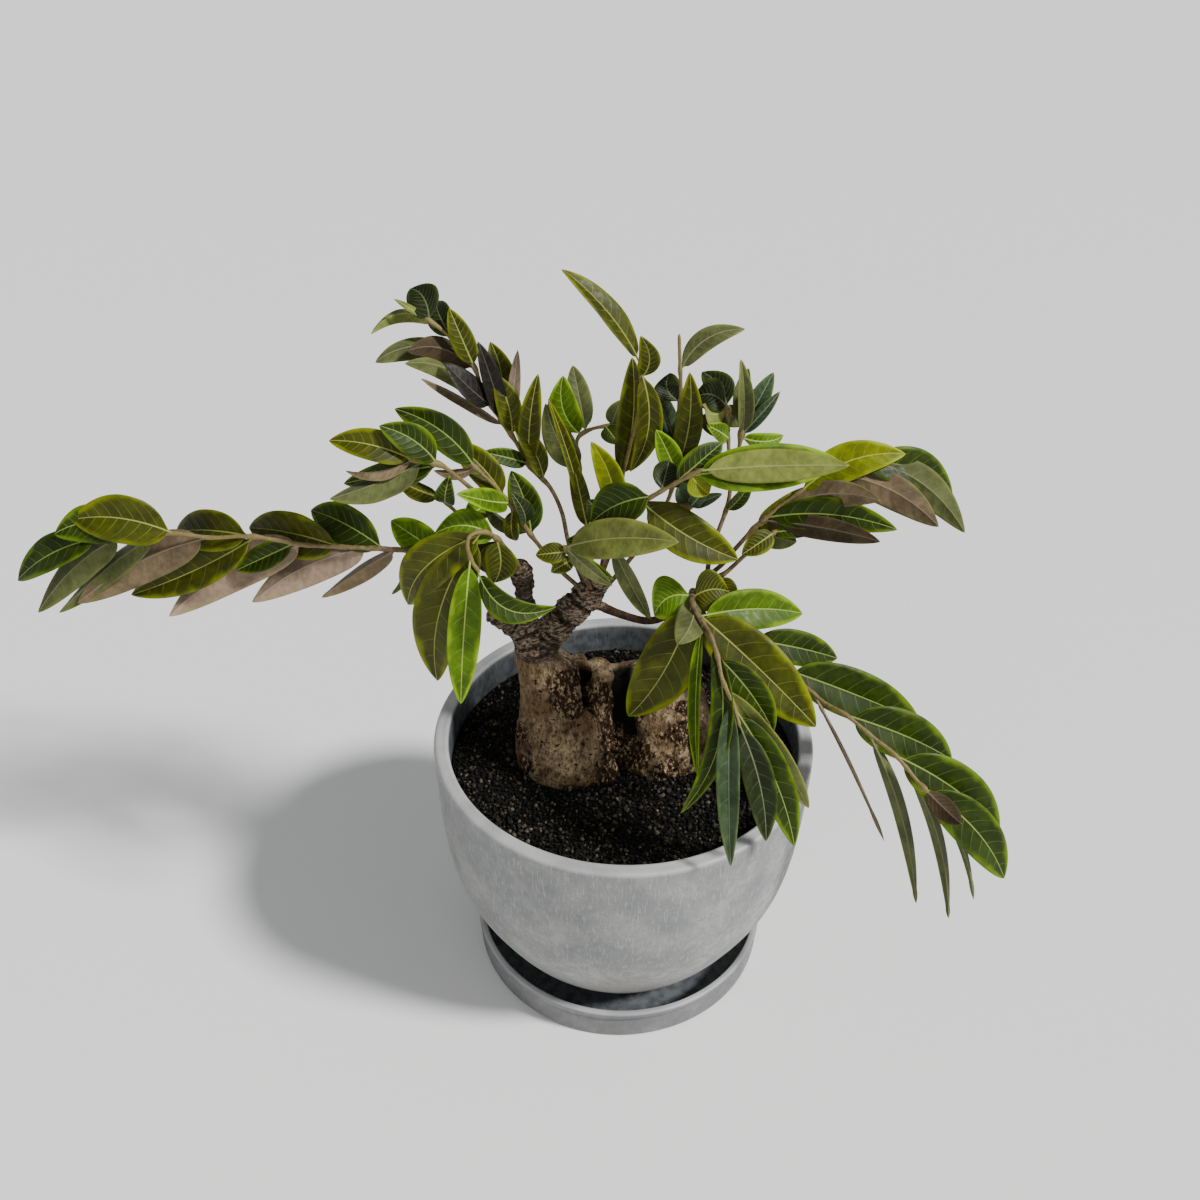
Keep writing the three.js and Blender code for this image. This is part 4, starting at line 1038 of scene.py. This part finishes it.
# Each spray: its material slot and its shoots, each with the points of its stem and then its leaves.
# A leaf: where it sits as a share of the stem's length, its reach from there to the tip, its width, its tone
# ("under" turns its underside to the front), roll in degrees, bow, fold in degrees and sideways sweep.
sprays = {
    "spray_long_left": ("leaf_deep", [
        ([(-54, 4, 263), (-79, 0, 274), (-109, -3, 281), (-130, -4, 283), (-160, -6, 286), (-185, -8, 292),
         (-205, -8, 291), (-221, -9, 294), (-238, -10, 293), (-257, -12, 293)], [
            (1, (-49, 4, -29), 19, "deep", 10, 3, 18, 3),
            (0.94, (-35, 0, 1), 20, "deep", -10, 0, 18, 6),
            (0.83, (-49, 2, 6), 25, "olive", -15, 4, 14, 5),
            (0.65, (-46, 24, -14), 22, "olive", -5, 3, 18, 2),
            (0.44, (-52, 24, -5), 25, "olive", -20, 3, 18, 3),
            (0.34, (-40, 24, 7), 22, "deep", -15, 3, 18, 3),
            (0.2, (-27, 14, 11), 18, "bright", -5, 2, 18, 0),
            (0.95, (-52, -1, -46), 19, "under grey", 10, 2, 20, -6),
            (0.87, (-58, -2, -47), 17, "under grey", 30, 2, 24, -5),
            (0.75, (-72, -4, -38), 23, "under mauve", 0, 2, 18, -5),
            (0.64, (-72, 8, -42), 21, "olive", 0, -2, 14, -2),
            (0.52, (-75, -4, -42), 24, "under pink", 5, 4, 18, -8),
            (0.55, (-32, 2, -18), 14, "deep", 0, 0, 20, 0),
            (0.37, (-63, -4, -31), 21, "under pink", 10, 2, 18, -6),
            (0.31, (-42, 4, -33), 13, "under mauve", 20, 2, 40, -2),
            (0.28, (-12, 4, -30), 9, "under grey", 40, 2, 45, 0),
        ]),
        ([(-62, 3, 267), (-73, 6, 282), (-84, 4, 298), (-92, 2, 309)], [
            (1, (-20, -2, 11), 11, "under olive", 20, 2, 26, 0),
            (0.92, (3, -4, 18), 11, "deep", 0, 5, 18, 0),
            (0.66, (13, 26, -5), 13, "bright", 0, 2, 18, 0),
            (0.52, (-6, -4, 12), 12, "deep", 0, 2, 18, 0),
        ]),
    ]),
    "spray_hang_left": ("leaf_bright", [
        ([(-54, 2, 265), (-57, -4, 278), (-61, -9, 288), (-64, -14, 296), (-70, -20, 304), (-76, -24, 304),
         (-77, -26, 300), (-75, -27, 291), (-73, -27, 287)], [
            (0.66, (-27, -1, -92), 27, "olive", 0, 5, 14, 8),
            (0.9, (-8, -12, -82), 17, "bright", -10, 3, 16, 1),
            (0.62, (-42, 6, -48), 24, "olive", -10, 8, 14, 8),
            (0.5, (-30, 0, 2), 17, "bright", 0, 4, 14, 5),
            (0.5, (-2, -2, -25), 17, "olive", 0, 2, 14, -3),
            (0.46, (-3, 4, -25), 15, "olive", 20, 3, 24, 8),
            (1, (38, -8, -16), 14, "deep", 0, 5, 18, 11),
        ]),
    ]),
    "spray_mid_left": ("leaf_purple", [
        ([(-21, 13, 244), (-36, 12, 261), (-45, 10, 276), (-52, 8, 289), (-58, 6, 302), (-66, 4, 315),
         (-75, 2, 327)], [
            (0.76, (-25, 9, 26), 16, "olive", 0, 2, 18, 2),
            (0.99, (-37, 6, 28), 17, "deep", -10, 3, 18, 5),
            (0.99, (-20, 0, -2), 6, "under mauve", 10, 2, 22, 2),
            (0.72, (-22, -26, 21), 13, "bright", 20, 2, 18, -2),
            (0.5, (-21, -3, 20), 11, "under grey", 35, 5, 40, 0),
            (0.56, (-6, -1, 20), 11, "dark", 30, 5, 30, 0),
            (0.48, (-10, 13, 30), 17, "deep", 0, 2, 18, 2),
            (0.68, (1, -2, -18), 9, "olive", 15, 5, 18, 0),
        ]),
        ([(-59, 6, 304), (-68, 2, 308), (-74, -1, 314), (-82, -4, 324), (-90, -7, 333), (-102, -10, 337)], [
            (0.8, (-25, -2, 21), 16, "deep", 0, 2, 18, 3),
            (1, (-38, 0, 10), 16, "olive", 5, 3, 18, 2),
            (1, (-31, -4, -4), 11, "under mauve", 55, 2, 30, 2),
            (0.81, (-39, 7, -17), 15, "under grey", 35, 2, 35, -2),
            (0.91, (-42, -18, -10), 19, "under grey", 35, 2, 24, 0),
            (0.77, (-49, 10, -17), 13, "deep", 0, 2, 18, 0),
        ]),
    ]),
    "spray_upper_left": ("leaf_purple", [
        ([(-21, 16, 244), (-30, 22, 268), (-34, 24, 288), (-40, 25, 302), (-49, 26, 312), (-57, 28, 327),
         (-65, 30, 340), (-71, 31, 349), (-76, 33, 365), (-87, 35, 379), (-97, 36, 387)], [
            (0.99, (-10, 12, 11), 17, "dark", -10, 4, 14, 4),
            (1, (-15, 2, 9), 3.4, "pale", 0, 1, 24, 0),
            (0.91, (-9, 20, 10), 14, "dark", -15, 4, 18, 0),
            (0.81, (-11, 6, 27), 12, "olive", 0, 3, 18, 0),
            (0.97, (-30, -6, -2), 9, "under pale", 20, 3, 30, -11),
            (0.86, (-40, -16, 2), 14, "under grey", 20, 4, 24, -9),
            (0.8, (-30, -12, 15), 15, "under brown", 0, 3, 34, -6),
            (0.68, (-21, -4, 25), 14, "purple", 30, 3, 14, -3),
            (0.62, (-11, 6, 40), 11, "purple", 20, 2, 18, 0),
            (0.58, (4, 14, 38), 7, "pink", 0, 2, 20, 0),
            (0.63, (-6, 26, 29), 14, "olive", 10, 2, 18, 3),
            (0.57, (-8, 6, 31), 13, "olive", 10, 2, 18, 2),
            (0.6, (-39, -8, 30), 8, "under mauve", 40, 2, 34, -4),
            (0.66, (-40, -14, 32), 13, "under grey", 20, 2, 30, -9),
            (0.4, (-14, 0, 31), 12, "olive", 20, 2, 18, 2),
            (0.47, (-22, -8, 11), 10, "deep", 5, 2, 22, 0),
            (0.46, (5, 2, 50), 12, "olive", 5, 2, 22, -2),
        ]),
    ]),
    "spray_back_centre": ("leaf_olive", [
        ([(-18, 16, 244), (-19, 28, 264), (-24, 35, 288), (-25, 40, 306), (-26, 44, 319), (-20, 46, 323),
         (-7, 48, 325)], [
            (0.82, (-9, 6, 30), 17, "bright", 0, 2, 18, -5),
            (0.85, (-7, 18, 28), 13, "grey", 0, 2, 18, 0),
            (0.64, (-17, 0, 37), 16, "grey", 0, 2, 18, -3),
            (0.4, (-17, -14, 74), 9, "olive", 30, 2, 30, 0),
            (0.32, (-8, -4, 46), 10, "olive", 0, 2, 18, 0),
            (0.98, (5, 3, 13), 10, "grey", 0, 2, 18, 0),
            (0.95, (7, -8, -6), 11, "deep", 0, 2, 18, 0),
        ]),
    ]),
    "spray_tall_centre": ("leaf_olive", [
        ([(-15, 15, 246), (-11, 20, 270), (-7, 22, 290), (-4, 23, 306), (0, 24, 326), (3, 25, 340),
         (5, 26, 356), (4, 26, 370)], [
            (1, (-37, 8, 43), 15, "olive", 35, 4, 18, 1),
            (0.97, (-4, -8, -51), 14, "olive", -10, 4, 22, -6),
            (0.94, (-1, -5, 24), 11, "olive", 0, 1, 18, 4),
            (0.5, (4, 6, 64), 17, "olive", 5, 0, 18, 3),
            (0.36, (-12, -8, 44), 14, "yellow", 0, 2, 18, 3),
        ]),
    ]),
    "spray_upright_right": ("leaf_deep", [
        ([(-13, 15, 243), (7, 20, 270), (20, 22, 296), (24, 24, 320), (23, 25, 338), (24, 26, 355),
         (23, 26, 369), (22, 26, 383)], [
            (0.54, (4, -2, 54), 14, "olive", 0, 2, 18, 3),
            (0.89, (30, 6, 19), 11, "grey", 10, 3, 18, -6),
            (0.61, (-12, 6, 32), 12, "blue", 20, -1, 26, 0),
            (0.78, (-5, 9, 11), 15, "dark", 0, 2, 18, -4),
            (0.53, (-11, -8, 28), 13, "bright", 0, 2, 18, 0),
            (0.47, (13, -6, 24), 13, "deep", 15, 2, 18, 0),
        ]),
    ]),
    "spray_fore_right": ("leaf_deep", [
        ([(-14, 11, 254), (-8, -2, 285), (-6, -8, 304), (5, -14, 317), (18, -18, 329), (31, -22, 340)], [
            (1, (67, -6, 7), 16, "under pale", 10, 0, 14, 1),
            (0.95, (71, 14, 0), 23, "bright", 0, 4, 18, 0),
            (0.87, (22, 14, 14), 14, "deep", 0, 2, 18, 0),
            (0.79, (4, 16, 7), 13, "dark", 0, 2, 18, 0),
            (0.74, (-29, 8, -21), 22, "deep", 0, 2, 18, 3),
            (0.95, (9, -2, -9), 13, "yellow", 0, -1, 18, 0),
            (0.68, (46, -12, -24), 22, "olive", 0, 3, 14, 3),
            (0.43, (-13, 6, 13), 14, "dark", 0, 2, 18, 0),
            (0.31, (20, -10, -38), 11, "grey", 20, 2, 26, 0),
            (0.26, (-22, -2, 8), 13, "deep", 20, 2, 24, 0),
        ]),
        ([(5, -14, 317), (18, -11, 315), (29, -10, 313)], [
            (1, (14, -6, 11), 6, "blue", 0, 1, 18, 0),
            (1, (9, -4, 16), 7, "blue", 0, 4, 18, 0),
            (1, (-1, 4, 17), 11, "blue", 0, -2, 18, 0),
            (1, (-6, 14, 2), 9, "blue", 0, -2, 18, 0),
        ]),
    ]),
    "spray_hang_centre": ("leaf_olive", [
        ([(-18, 9, 249), (-21, 1, 261), (-25, -6, 275), (-31, -12, 290)], [
            (1, (23, -8, -17), 9, "grey", 20, 2, 24, 0),
            (1, (53, -27, 22), 20, "pale", 0, 3, 14, -3),
            (0.92, (-16, -2, -1), 11, "olive", 0, 2, 18, 0),
            (0.78, (-11, -6, -4), 9, "olive", 0, 2, 18, 0),
            (0.9, (22, -4, -13), 9, "bright", 20, 2, 24, 0),
        ]),
    ]),
    "spray_right": ("leaf_bright", [
        ([(34, -15, 267), (39, -10, 271), (47, -6, 277), (53, -3, 284), (64, 0, 297), (75, 2, 307),
         (87, 4, 316), (97, 5, 322), (115, 6, 329)], [
            (0.66, (50, 6, 19), 19, "yellow", 0, 4, 14, -6),
            (0.95, (52, 12, -23), 20, "deep", 0, 5, 14, -6),
            (1, (49, -12, -32), 18, "under grey", 10, 4, 20, 7),
            (0.84, (47, -26, -13), 18, "under mauve", 0, 4, 16, 6),
            (0.55, (43, -22, 18), 14, "under mauve", 0, 3, 14, 5),
            (0.47, (60, -20, 7), 17, "deep", 0, 4, 14, -4),
            (0.45, (49, -40, 15), 12, "under brown", 0, 3, 16, 2),
            (0.4, (28, 12, 17), 14, "olive", 0, 3, 18, 2),
            (0.39, (20, -12, 1), 13, "under grey", 0, 2, 18, 0),
        ]),
        ([(38, -11, 270), (46, -12, 274), (57, -9, 284), (66, -7, 292), (71, -6, 296)], [
            (1, (-16, -8, -8), 12, "olive", 0, 2, 18, 0),
            (1, (19, -2, 2), 9, "deep", -15, 2, 18, 0),
            (0.2, (7, -8, -11), 10, "olive", 0, 2, 18, 0),
        ]),
        ([(39, -10, 271), (41, 0, 276), (45, 10, 284), (50, 18, 297), (51, 22, 309), (49, 26, 326),
         (47, 28, 346)], [
            (0.41, (11, -4, 20), 9, "deep", 30, 2, 22, 0),
            (1, (-12, 14, 12), 15, "dark", 0, 0, 18, 3),
            (1, (-17, 4, 2), 17, "dark", 0, 3, 18, 4),
            (0.99, (-12, -12, 7), 14, "under pale", 10, 3, 20, 2),
            (0.96, (-14, -6, -2), 15, "under grey", 20, 3, 22, 0),
            (0.97, (16, 8, -9), 12, "under grey", 5, 6, 22, 0),
            (0.82, (-12, -10, 13), 10, "bright", 0, 2, 18, 0),
        ]),
        ([(51, 21, 306), (54, 26, 321), (55, 28, 330), (56, 30, 338)], [
            (0.8, (-3, 2, 39), 11, "grey", 10, 5, 40, 0),
            (0.87, (4, 28, 19), 11, "grey", -30, 2, 34, 0),
            (0.84, (14, 8, 28), 11, "blue", 0, 2, 18, 0),
            (0.78, (17, 0, 24), 7, "blue", 10, 2, 18, 0),
            (0.74, (22, 6, -2), 9, "bright", 0, 3, 18, 3),
        ]),
    ]),
    "spray_hang_right": ("leaf_deep", [
        ([(33, -17, 266), (31, -25, 268), (34, -32, 264), (39, -40, 260), (43, -50, 253), (45, -58, 246),
         (50, -66, 238), (53, -72, 230)], [
            (0.14, (-30, -11, -64), 29, "olive", 0, 5, 12, -4),
            (0.03, (-9, -30, -7), 16, "under grey", 0, -1, 12, 3),
            (0.29, (0, -34, -72), 9, "bright", 30, 3, 40, 1),
            (0.4, (-13, -45, -75), 13, "deep", 20, 4, 24, -14),
            (0.82, (2, -42, -72), 13, "blue", 20, 3, 26, 0),
            (1, (15, -26, -53), 16, "dark", 0, 3, 18, -3),
            (0.9, (33, -22, -71), 18, "deep", 0, 3, 16, -4),
            (0.54, (29, -12, -38), 19, "deep", 15, 3, 16, -3),
            (0.2, (61, -25, -52), 29, "olive", 0, 4, 12, -1),
            (0.73, (47, -10, -73), 16, "pale", 30, 3, 24, -4),
            (0.24, (54, 18, -11), 21, "bright", 0, 3, 14, -3),
            (0.05, (-19, -4, -9), 23, "bright", 0, 3, 14, 5),
            (0.06, (18, 2, 2), 22, "olive", 10, 3, 16, -3),
        ]),
    ]),
    "spray_lower_right": ("leaf_deep", [
        ([(34, -16, 264), (42, -14, 255), (52, -13, 246), (73, -19, 229), (89, -28, 219), (101, -37, 213),
         (110, -44, 212), (123, -54, 206), (133, -62, 202), (145, -72, 192), (148, -75, 190)], [
            (0.26, (49, 14, -23), 19, "deep", 0, 3, 14, -1),
            (0.41, (76, 4, -39), 27, "deep", 0, 4, 14, -1),
            (0.66, (60, 4, -34), 26, "deep", 0, 4, 14, -2),
            (0.86, (61, -2, -52), 27, "deep", 0, 4, 14, -4),
            (0.99, (49.4, -8, -57), 23, "deep", 0, 4, 14, -5),
            (1, (14, -20, -3), 12, "under brown", 0, 3, 22, 0),
            (0.53, (43, -26, -80), 6, "under mauve", 0, 3, 70, 2),
            (0.75, (34, -26, -97), 13, "under grey", 10, 3, 55, 5),
            (0.91, (31, -22, -87), 13, "under grey", 10, 3, 60, 6),
            (0.99, (33, -16, -64), 8, "under grey", 10, 3, 60, 6),
        ]),
    ]),
}

sprayFinishes = [leafFinish(name, look) for name, look in leafLooks.items()] + [stemFinish(stemLook)]
firstSeed = 100

for number, (node, (slot, shoots)) in enumerate(sprays.items()):
    random = np.random.default_rng(firstSeed + number)
    parts = []
    for points, leaves in shoots:
        parts += shootParts(points, leaves, random)
    dress(makePiece(node.replace("spray", "leafy"), joinParts(parts), sprayFinishes), node)


# Studio: a pale floor, soft lamps and the camera where the picture was taken

studio = {
    "floorSize": 16000, "floorColour": "f0f0ee", "floorCloud": "efefed", "floorCloudSize": 300.0,
    "floorRough": 0.8, "sky": "f2f5f8", "skyStrength": 0.36,
    "sunPlace": (0.76, -0.26, 0.78), "sunPower": 4.9, "sunSoftness": 9,
    "lampPlace": (-300, -1100, 700), "lampSize": 900, "lampPower": 3.0, "lampAim": (0, 0, 200),
    "cameraPlace": (-15.3, -530, 642), "cameraDown": 36.53, "cameraRoll": 0.65, "cameraYaw": -0.16,
    "focal": 1283, "imageSide": 1200, "sensor": 36, "clip": (0.01, 50),
}


def floorFinish(look):
    material, tree = newMaterial("paleFloor")
    cloud = noise(objectPlace(tree), look["floorCloudSize"])
    colour = mixed(cloud, tint(look["floorColour"]), tint(look["floorCloud"]))
    setInputs(tree, tree.nodes["Principled BSDF"], {"Base Color": colour, "Roughness": look["floorRough"]})
    return material


def makeStudio(look):
    half = look["floorSize"] / 2
    corners = [(-half, -half, 0), (half, -half, 0), (half, half, 0), (-half, half, 0)]
    floor = makePiece("studioFloor", part(corners, [[0, 1, 2, 3]]), [floorFinish(look)])
    world = bpy.data.worlds.new("paleRoom")
    world.use_nodes = True
    background = world.node_tree.nodes["Background"].inputs
    background["Color"].default_value = tint(look["sky"])
    background["Strength"].default_value = look["skyStrength"]
    bpy.context.scene.world = world
    sun = bpy.data.lights.new("softSun", "SUN")
    sun.energy = look["sunPower"]
    sun.angle = math.radians(look["sunSoftness"])
    placed("softSun", sun).rotation_euler = Vector(look["sunPlace"]).to_track_quat("Z", "Y").to_euler()
    lamp = bpy.data.lights.new("fill", "AREA")
    lamp.size = look["lampSize"] * mm
    lamp.energy = look["lampPower"]
    holder = placed("fill", lamp)
    holder.location = Vector(look["lampPlace"]) * mm
    aim = Vector(look["lampAim"]) * mm - holder.location
    holder.rotation_euler = aim.to_track_quat("-Z", "Y").to_euler()


def makeCamera(look):
    lens = bpy.data.cameras.new("frontView")
    lens.sensor_width = look["sensor"]
    lens.lens = look["sensor"] * look["focal"] / look["imageSide"]
    lens.clip_start, lens.clip_end = look["clip"]
    camera = placed("frontView", lens)
    turns = ((look["cameraYaw"], "Z"), (90 - look["cameraDown"], "X"), (look["cameraRoll"], "Z"))
    yaw, tilt, roll = [Matrix.Rotation(math.radians(angle), 4, axis) for angle, axis in turns]
    camera.matrix_world = Matrix.Translation(Vector(look["cameraPlace"]) * mm) @ yaw @ tilt @ roll
    bpy.context.scene.camera = camera


makeStudio(studio)
makeCamera(studio)
print("studio and camera set")
